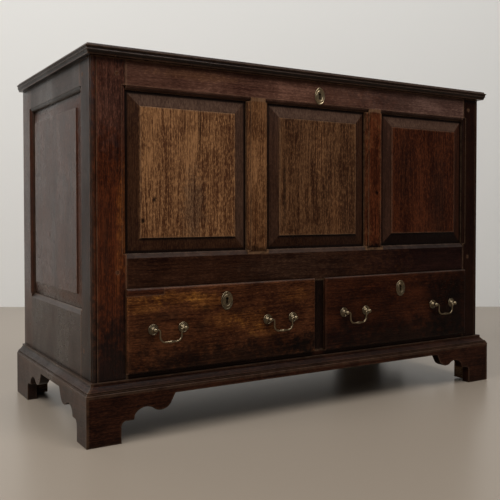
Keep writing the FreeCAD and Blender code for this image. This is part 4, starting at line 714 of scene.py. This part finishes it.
class MULECHEST_OT_sides(UndoableOperator, Operator):
    """Works the rails and panels of both sides"""
    bl_idname = "mule_chest.sides"
    bl_label = "Sides"

    def execute(self, context):
        c = context.scene.mule_oak
        tone = mix(c.russet, c.pitch, 0.85)
        rails = oak("Oak of side rails", tone, "y", flecks=0.15, rough=0.3, shine=0.34, figure=0.6,
                    seed=21)
        work_boards("side_rails", rails, arris=0.7, seed=40)
        panels = oak("Oak of side panels", mix(c.russet, c.pitch, 0.45), "z", flecks=0.15,
                     rough=0.27, rise=2.5, shine=0.5, seed=22, smears=0.05,
                     bevels=sunk("X", SIDE_BEVELS, -POLISHED, 0.9))
        work_boards("side_panels", panels, arris=0.7, seed=41)
        return {"FINISHED"}


class MULECHEST_OT_back(UndoableOperator, Operator):
    """Works the unpolished back"""
    bl_idname = "mule_chest.back"
    bl_label = "Back"

    def execute(self, context):
        c = context.scene.mule_oak
        dim = mix(c.dry, c.brown, 0.55)
        rails = oak("Dry oak rails", dim, "x", rough=0.7, seed=31)
        work_boards("back_rails", rails, arris=1.0, seed=50)
        boards = oak("Dry oak boards", dim, "z", rough=0.75, seed=32)
        work_boards("back_boards", boards, arris=0.6, seed=51)
        return {"FINISHED"}


class MULECHEST_OT_inside(UndoableOperator, Operator):
    """Works the chest floor and the drawers' runners"""
    bl_idname = "mule_chest.inside"
    bl_label = "Inside"

    def execute(self, context):
        c = context.scene.mule_oak
        floor = oak("Dry oak floor", c.dry, "x", rough=0.72, seed=41)
        work_boards("chest_floor", floor, arris=0.6, seed=60)
        for number, node in enumerate(("floor_ledges", "drawer_runners")):
            strips = oak(f"Dry oak of {node}", c.dry, "y", rough=0.72, seed=42 + number)
            work_boards(node, strips, arris=0.8, seed=61 + number)
        return {"FINISHED"}


class MULECHEST_OT_base(UndoableOperator, Operator):
    """Works the base mouldings, bracket boards and glue blocks"""
    bl_idname = "mule_chest.base"
    bl_label = "Base"

    def execute(self, context):
        c = context.scene.mule_oak
        mould = mix(c.russet, c.pitch, 0.85)
        bracket = mix(c.russet, c.pitch, 0.75)
        boards = {  # each board's grain, tone, roughness and shine
            "base_moulding_front": ("x", mould, 0.42, 0.08),
            "base_moulding_sides": ("y", mould, 0.3, 0.3),
            "plinth_front": ("x", bracket, 0.42, 0.08),
            "plinth_sides": ("y", bracket, 0.3, 0.3),
        }
        for number, (node, (grain, tone, rough, shine)) in enumerate(boards.items()):
            material = oak(f"Oak of {node}", tone, grain, rub_and_highlight=0.3, dust_and_sheen=0.04, rough=rough,
                           shine=shine, mottle=0.5, seed=51 + number)
            work_boards(node, material, arris=0.9, seed=70 + number)
        dim = mix(c.dry, c.brown, 0.5)
        for number, node in enumerate(("rear_brackets", "foot_blocks")):
            material = oak(f"Dry oak of {node}", dim, "x", rough=0.75, seed=57 + number)
            work_boards(node, material, arris=1.0, seed=75 + number)
        return {"FINISHED"}


class MULECHEST_OT_lid(UndoableOperator, Operator):
    """Works the lid's planks and battens"""
    bl_idname = "mule_chest.lid"
    bl_label = "Lid"

    def execute(self, context):
        c = context.scene.mule_oak
        planks = oak("Oak of the lid", mix(c.russet, c.pitch, 0.85), "x", rub_and_highlight=0.35, figure=0.6,
                     rough=0.3, shine=0.2, seed=61)
        for node in ("lid_plank_front", "lid_plank_rear"):
            work_boards(node, planks, arris=0.6, seed=80)
        battens = oak("Oak battens", mix(c.dry, c.brown, 0.5), "y", rough=0.6, seed=64)
        work_boards("lid_battens", battens, arris=1.0, seed=83)
        return {"FINISHED"}


class MULECHEST_OT_drawers(UndoableOperator, Operator):
    """Works the drawer fronts, sides, backs and bottoms"""
    bl_idname = "mule_chest.drawers"
    bl_label = "Drawers"

    def execute(self, context):
        c = context.scene.mule_oak
        amber = (0.150, 0.052, 0.012)
        left = [spot(-394, 302, 90, 18, amber, 0.8), spot(-319, 288, 70, 26, amber, 0.75),
                spot(-197, 235, 70, 36, amber, 0.7), spot(-164, 208, 50, 24, amber, 0.5),
                spot(-70, 290, 60, 26, amber, 0.45), spot(-51, 161, 70, 40, c.pitch, 0.9),
                spot(-480, 290, 80, 26, amber, 0.75), spot(-275, 240, 60, 30, amber, 0.5),
                spot(-420, 262, 60, 16, c.pitch, 0.55), spot(-322, 272, 14, 12, c.pitch, 0.6),
                spot(-280, 146, 460, 70, c.pitch, 0.85), spot(-470, 230, 40, 60, c.pitch, 0.45),
                spot(-330, 230, 30, 18, c.pitch, 0.5), spot(-240, 262, 30, 12, c.pitch, 0.45)]
        right = [spot(180, 296, 70, 14, c.russet, 0.6), spot(330, 270, 80, 22, c.russet, 0.5),
                 spot(274, 146, 460, 75, c.pitch, 0.9), spot(480, 230, 50, 90, c.pitch, 0.6),
                 spot(90, 210, 30, 40, c.pitch, 0.5),
                 spot(470, 230, 150, 220, shade(c.russet, 0.13), 0.95)]
        fronts = {"left": ((0.060, 0.0182, 0.0063), left), "right": (shade(c.russet, 0.48), right)}
        for number, (side, (tone, marks)) in enumerate(fronts.items()):
            material = oak(f"Oak of {side} drawer front", tone, "x", mottle=0.5, flecks=0.4,
                           figure=0.8, seed=71 + number, marks=marks)
            work_boards(f"drawer_{side}_front", material, arris=0.7,
                        seed=90 + number)
            inner = oak(f"Dry oak of {side} drawer", c.dry, "y", rough=0.68, seed=74 + number)
            work_boards(f"drawer_{side}_sides", inner, arris=0.5, seed=92 + number)
            cross = oak(f"Dry oak across {side} drawer", c.dry, "x", rough=0.68, seed=77 + number)
            work_boards(f"drawer_{side}_back", cross, arris=0.5, seed=94 + number)
            work_boards(f"drawer_{side}_bottom", cross, arris=0.5, seed=96 + number)
        strip = oak("Oak of the repair", mix(c.russet, c.pitch, 0.55), "x", seed=79, rub_and_highlight=0.1)
        work_boards("drawer_left_repair", strip, arris=1.3, seed=98)
        return {"FINISHED"}


class MULECHEST_OT_ironwork(UndoableOperator, Operator):
    """Finishes the hinges and locks"""
    bl_idname = "mule_chest.ironwork"
    bl_label = "Ironwork"

    def execute(self, context):
        m = context.scene.mule_metal
        iron = metal("Forged iron", m.iron, m.rust, 0.42, 3, filmed=0.8)
        nodes = ("hinge_lid_straps", "hinge_case_straps", "hinge_pins", "chest_lock",
                 "chest_lock_bolt", "lid_staple", "drawer_left_lock", "drawer_left_bolt",
                 "drawer_right_lock", "drawer_right_bolt")
        for number, node in enumerate(nodes):
            work_boards(node, iron, arris=0.3, seed=100 + number)
        return {"FINISHED"}


# Sizes of the brass, in millimetres. A profile's pairs are distances off the front, and radii.
HANDLES = {"left": (-266.5, 149), "right": (274, 158)}  # a drawer's middle, and out to its handles
ROSE = ((0, 12.0), (0.8, 12.0), (1.4, 11.7), (1.7, 11.1), (1.5, 10.4), (0.9, 9.9), (0.8, 8.8),
        (1.2, 8.3), (1.5, 7.8), (1.3, 7.2), (1.5, 6.5), (2.2, 6.0), (3.0, 5.6), (3.4, 5.0))
POST = ((-28, 2.8), (3.4, 2.8), (3.4, 4.8), (4.2, 5.4), (5.0, 4.6), (6.5, 3.4), (8.0, 3.0),
        (9.0, 3.4), (9.4, 4.2), (10.0, 4.4), (10.5, 4.3), (11.5, 4.9), (12.7, 5.35), (14.0, 5.5),
        (15.3, 5.35), (16.5, 4.87), (17.6, 4.1), (18.6, 3.0), (19.2, 1.9), (19.48, 0.8))
PLATE = ((0, 15.5), (0.7, 15.5), (1.5, 15.1), (1.9, 14.3), (1.6, 13.5), (1.0, 12.9), (0.8, 11.9),
         (0.8, 10.9), (1.4, 10.5), (2.0, 9.9), (2.2, 9.3), (1.9, 8.7), (1.3, 8.3), (1.1, 7.4))
PLATE_TALL = 43 / 31  # a keyhole plate's height against its width
EYE = (3.5, 4.5)  # the keyhole's round: its radius, and its height over the plate's middle
SLOT = (4.6, 12.0)  # the keyhole's slot: its width, and its reach below the round's middle
ROSE_BORE = 2.95  # radius of the hole for the post
BALL_BORE = 2.08  # radius of the hole for the bail
BALL_REACH = 14  # how far off the front that hole is
CHEST_PLATE = (8, 783)  # middle of the chest's own keyhole plate, across and up
TURNED_SIDES = 48
BORE_SIDES = 32
CUTTER = 60  # longer than anything that it cuts


def turned(name, profile, tall=1.0):
    """Turns a solid whose axis points out of the front, then stretches it upwards."""
    deselect()
    off, radius = profile[0]
    bpy.ops.mesh.primitive_circle_add(vertices=TURNED_SIDES, radius=radius * MM, fill_type="NGON",
                                      location=(0, 0, off * MM))
    piece = bpy.context.object
    piece.name = piece.data.name = name
    settle(piece)
    bpy.ops.object.mode_set(mode="EDIT")
    bpy.ops.mesh.select_all(action="SELECT")
    for next_off, wide in profile[1:]:
        outward = (0, 0, (next_off - off) * MM)
        bpy.ops.mesh.extrude_region_move(TRANSFORM_OT_translate={"value": outward})
        bpy.ops.transform.resize(value=(wide / radius, wide / radius, 1),
                                 center_override=(0, 0, next_off * MM))
        off, radius = next_off, wide
    bpy.ops.mesh.select_all(action="SELECT")
    bpy.ops.mesh.normals_make_consistent(inside=False)
    bpy.ops.object.mode_set(mode="OBJECT")
    piece.rotation_euler = (math.radians(90), 0, 0)
    piece.scale = (1, tall, 1)
    settle(piece)
    return piece


def bored(piece, radius, place, turn):
    """Bores a round hole of the given radius through a piece."""
    deselect()
    bpy.ops.mesh.primitive_cylinder_add(vertices=BORE_SIDES, radius=radius * MM, depth=CUTTER * MM,
                                        location=[part * MM for part in place], rotation=turn)
    carve(piece, bpy.context.object)


def carve(piece, cutter):
    """Cuts a piece with a cutter, and throws the cutter away."""
    settle(cutter)
    apply_modifier(piece, "BOOLEAN", operation="DIFFERENCE", solver="EXACT", object=cutter)
    bpy.data.objects.remove(cutter)


def spread_out(first, name, places, material, node):
    """Copies a piece of brass to each place, joins the copies and puts them in the node's stead."""
    copies = []
    for place in places:
        item = first.copy()
        item.data = first.data.copy()
        item.location = [part * MM for part in place]
        bpy.context.collection.objects.link(item)
        settle(item)
        copies.append(item)
    deselect()
    for item in copies:
        item.select_set(True)
    bpy.context.view_layer.objects.active = copies[0]
    if len(copies) > 1:
        bpy.ops.object.join()
    whole = copies[0]
    whole.name = whole.data.name = name
    smooth(whole, TURNED_SHARP)
    dress(whole, material, NODES[node]["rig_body"])
    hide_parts(node)


class MULECHEST_OT_brass(UndoableOperator, Operator):
    """Turns the roses, posts and keyhole plates and finishes the bails"""
    bl_idname = "mule_chest.brass"
    bl_label = "Brass"

    def execute(self, context):
        m = context.scene.mule_metal
        brass = metal("Aged brass", shade(m.brass, 0.75), m.tarnish, 0.3, 5, filmed=1.0)
        worn = metal("Worn brass", shade(m.brass, 0.75), mix(m.tarnish, m.brass, 0.15), 0.32, 7,
                     filmed=0.6)
        clean = metal("Clean brass", shade(m.brass, 1.3), m.tarnish, 0.3, 9, filmed=0.5)
        across, outward = (0, math.radians(90), 0), (math.radians(90), 0, 0)
        face = DRAWER_FACE / MM
        height, keyhole = m.handle_height / MM, m.keyhole_height / MM
        half_span = m.post_spacing / MM / 2
        rose = turned("rose", ROSE)
        bored(rose, ROSE_BORE, (0, 0, 0), outward)
        post = turned("post", POST)
        bored(post, BALL_BORE, (0, -BALL_REACH, 0), across)
        plate = turned("plate", PLATE, tall=PLATE_TALL)
        bored(plate, EYE[0], (0, 0, EYE[1]), outward)
        deselect()
        bpy.ops.mesh.primitive_cube_add(size=1, location=(0, 0, (EYE[1] - SLOT[1] / 2) * MM))
        slot = bpy.context.object
        slot.scale = (SLOT[0] * MM, CUTTER * MM, SLOT[1] * MM)
        carve(plate, slot)
        for side, (middle, spread) in HANDLES.items():
            ends = [(x + half, face, height) for x in (middle - spread, middle + spread)
                    for half in (-half_span, half_span)]
            spread_out(rose, f"turned_{side}_roses", ends, brass, f"drawer_{side}_roses")
            spread_out(post, f"turned_{side}_posts", ends, worn, f"drawer_{side}_posts")
            spread_out(plate, f"oval_{side}_plate", [(middle, face, keyhole)], brass,
                       f"drawer_{side}_escutcheon")
            work_boards(f"drawer_{side}_nuts", brass, arris=0.2, seed=110)
            for place in ("left", "right"):
                work_boards(f"bail_{side}_drawer_{place}", worn, arris=0.1, seed=111)
        x, z = CHEST_PLATE
        spread_out(plate, "oval_chest_plate", [(x, FRONT / MM, z)], clean, "chest_escutcheon")
        for item in (rose, post, plate):
            bpy.data.objects.remove(item)
        return {"FINISHED"}


SHEET_SIZE = 14  # width of the floor and of the wall
WALL_DISTANCE = 3.77  # from the camera, straight ahead
FLOOR_ROUGH, WALL_ROUGH = 0.3, 0.9
LAMPS = (  # name, place, what it points at, width, which power, and how much of it
    ("key", (-2.1, -2.3, 2.7), (0.0, 0.0, 0.35), 2.4, "key", 1.0),
    ("wash left", (-2.7, -0.3, 3.2), (-0.7, 2.5, 0.3), 2.0, "wash", 1.0),
    ("wash right", (0.5, -1.9, 3.3), (1.8, 1.0, 0.5), 2.0, "wash", 0.6),
)
ROOM_TONE = (1.0, 0.985, 0.96, 1)  # colour of the light from all round
SENSOR = 36  # width of the camera's film, in millimetres
FAR = 60  # how far the camera sees


class MULECHEST_OT_stage(UndoableOperator, Operator):
    """Lays the floor, raises the wall, and sets the lights and the camera"""
    bl_idname = "mule_chest.stage"
    bl_label = "Stage"

    def execute(self, context):
        s = context.scene.mule_stage
        self.plain_sheet("floor", s.floor_tone, FLOOR_ROUGH, (0, 0, 0), (0, 0, 0))
        turn = s.camera_turn[2]
        ahead = Vector((-math.sin(turn), math.cos(turn), 0))
        place = Vector((s.camera_place[0], s.camera_place[1], 0)) + ahead * WALL_DISTANCE
        self.plain_sheet("wall", s.wall_tone, WALL_ROUGH, place, (math.radians(90), 0, turn))
        for name, place, aim, width, power, share in LAMPS:
            self.lamp(name, place, aim, width, getattr(s, power) * share)
        world = bpy.data.worlds.new("Room")
        world.use_nodes = True
        background = world.node_tree.nodes["Background"]
        background.inputs["Color"].default_value = ROOM_TONE
        background.inputs["Strength"].default_value = s.fill
        context.scene.world = world
        context.scene.view_settings.view_transform = "Standard"
        data = bpy.data.cameras.new("camera")
        data.lens = s.lens
        data.sensor_width = SENSOR
        data.shift_y = s.rise
        data.clip_end = FAR
        camera = bpy.data.objects.new("camera", data)
        camera.location = s.camera_place
        camera.rotation_euler = s.camera_turn
        context.collection.objects.link(camera)
        context.scene.camera = camera
        return {"FINISHED"}

    def plain_sheet(self, name, tone, rough, place, turn):
        """A sheet that is clear from behind, so that it never hides the chest."""
        deselect()
        bpy.ops.mesh.primitive_plane_add(size=SHEET_SIZE, location=place, rotation=turn)
        sheet = bpy.context.object
        sheet.name = name
        settle(sheet)
        material = bpy.data.materials.new(f"Plain {name}")
        material.use_nodes = True
        tree = material.node_tree
        shader = tree.nodes["Principled BSDF"]
        shader.inputs["Base Color"].default_value = (*tone, 1)
        shader.inputs["Roughness"].default_value = rough
        clear = add(tree, "ShaderNodeBsdfTransparent")
        behind = add(tree, "ShaderNodeNewGeometry").outputs["Backfacing"]
        seen = add(tree, "ShaderNodeMixShader",
                   {0: behind, 1: shader.outputs[0], 2: clear.outputs[0]})
        tree.links.new(seen.outputs[0], tree.nodes["Material Output"].inputs["Surface"])
        sheet.data.materials.append(material)

    def lamp(self, name, place, aim, width, power):
        """A square soft light that points at a place."""
        data = bpy.data.lights.new(name, "AREA")
        data.size = width
        data.energy = power
        lamp = bpy.data.objects.new(name, data)
        lamp.location = place
        lamp.rotation_euler = (Vector(aim) - Vector(place)).to_track_quat("-Z", "Y").to_euler()
        bpy.context.collection.objects.link(lamp)


class MULECHEST_PT_sidebar(Panel):
    """Lists the pieces of the chest, and its colours and sizes"""
    bl_label = "Mule chest"
    bl_space_type = "VIEW_3D"
    bl_region_type = "UI"
    bl_category = "Mule chest"

    def draw(self, context):
        for operator in OPERATORS:
            self.layout.operator(operator.bl_idname)
        for group in SETTINGS:
            settings = getattr(context.scene, group)
            for name in settings.__annotations__:
                self.layout.prop(settings, name)


OPERATORS = (MULECHEST_OT_frame, MULECHEST_OT_panels, MULECHEST_OT_sides, MULECHEST_OT_back,
             MULECHEST_OT_inside, MULECHEST_OT_base, MULECHEST_OT_lid, MULECHEST_OT_drawers,
             MULECHEST_OT_ironwork, MULECHEST_OT_brass, MULECHEST_OT_stage)
SETTINGS = {"mule_oak": OakSettings, "mule_metal": MetalSettings, "mule_stage": StageSettings}


def register():
    """Registers the classes and hangs the settings on the scene."""
    for kind in (*SETTINGS.values(), *OPERATORS, MULECHEST_PT_sidebar):
        bpy.utils.register_class(kind)
    for name, kind in SETTINGS.items():
        setattr(bpy.types.Scene, name, PointerProperty(type=kind))


def unregister():
    """Takes away what register added."""
    for name in SETTINGS:
        delattr(bpy.types.Scene, name)
    for kind in reversed((*SETTINGS.values(), *OPERATORS, MULECHEST_PT_sidebar)):
        bpy.utils.unregister_class(kind)


def main():
    """Builds the whole chest."""
    register()
    for operator in OPERATORS:
        area, name = operator.bl_idname.split(".")
        getattr(getattr(bpy.ops, area), name)()


if __name__ == "__main__":
    main()
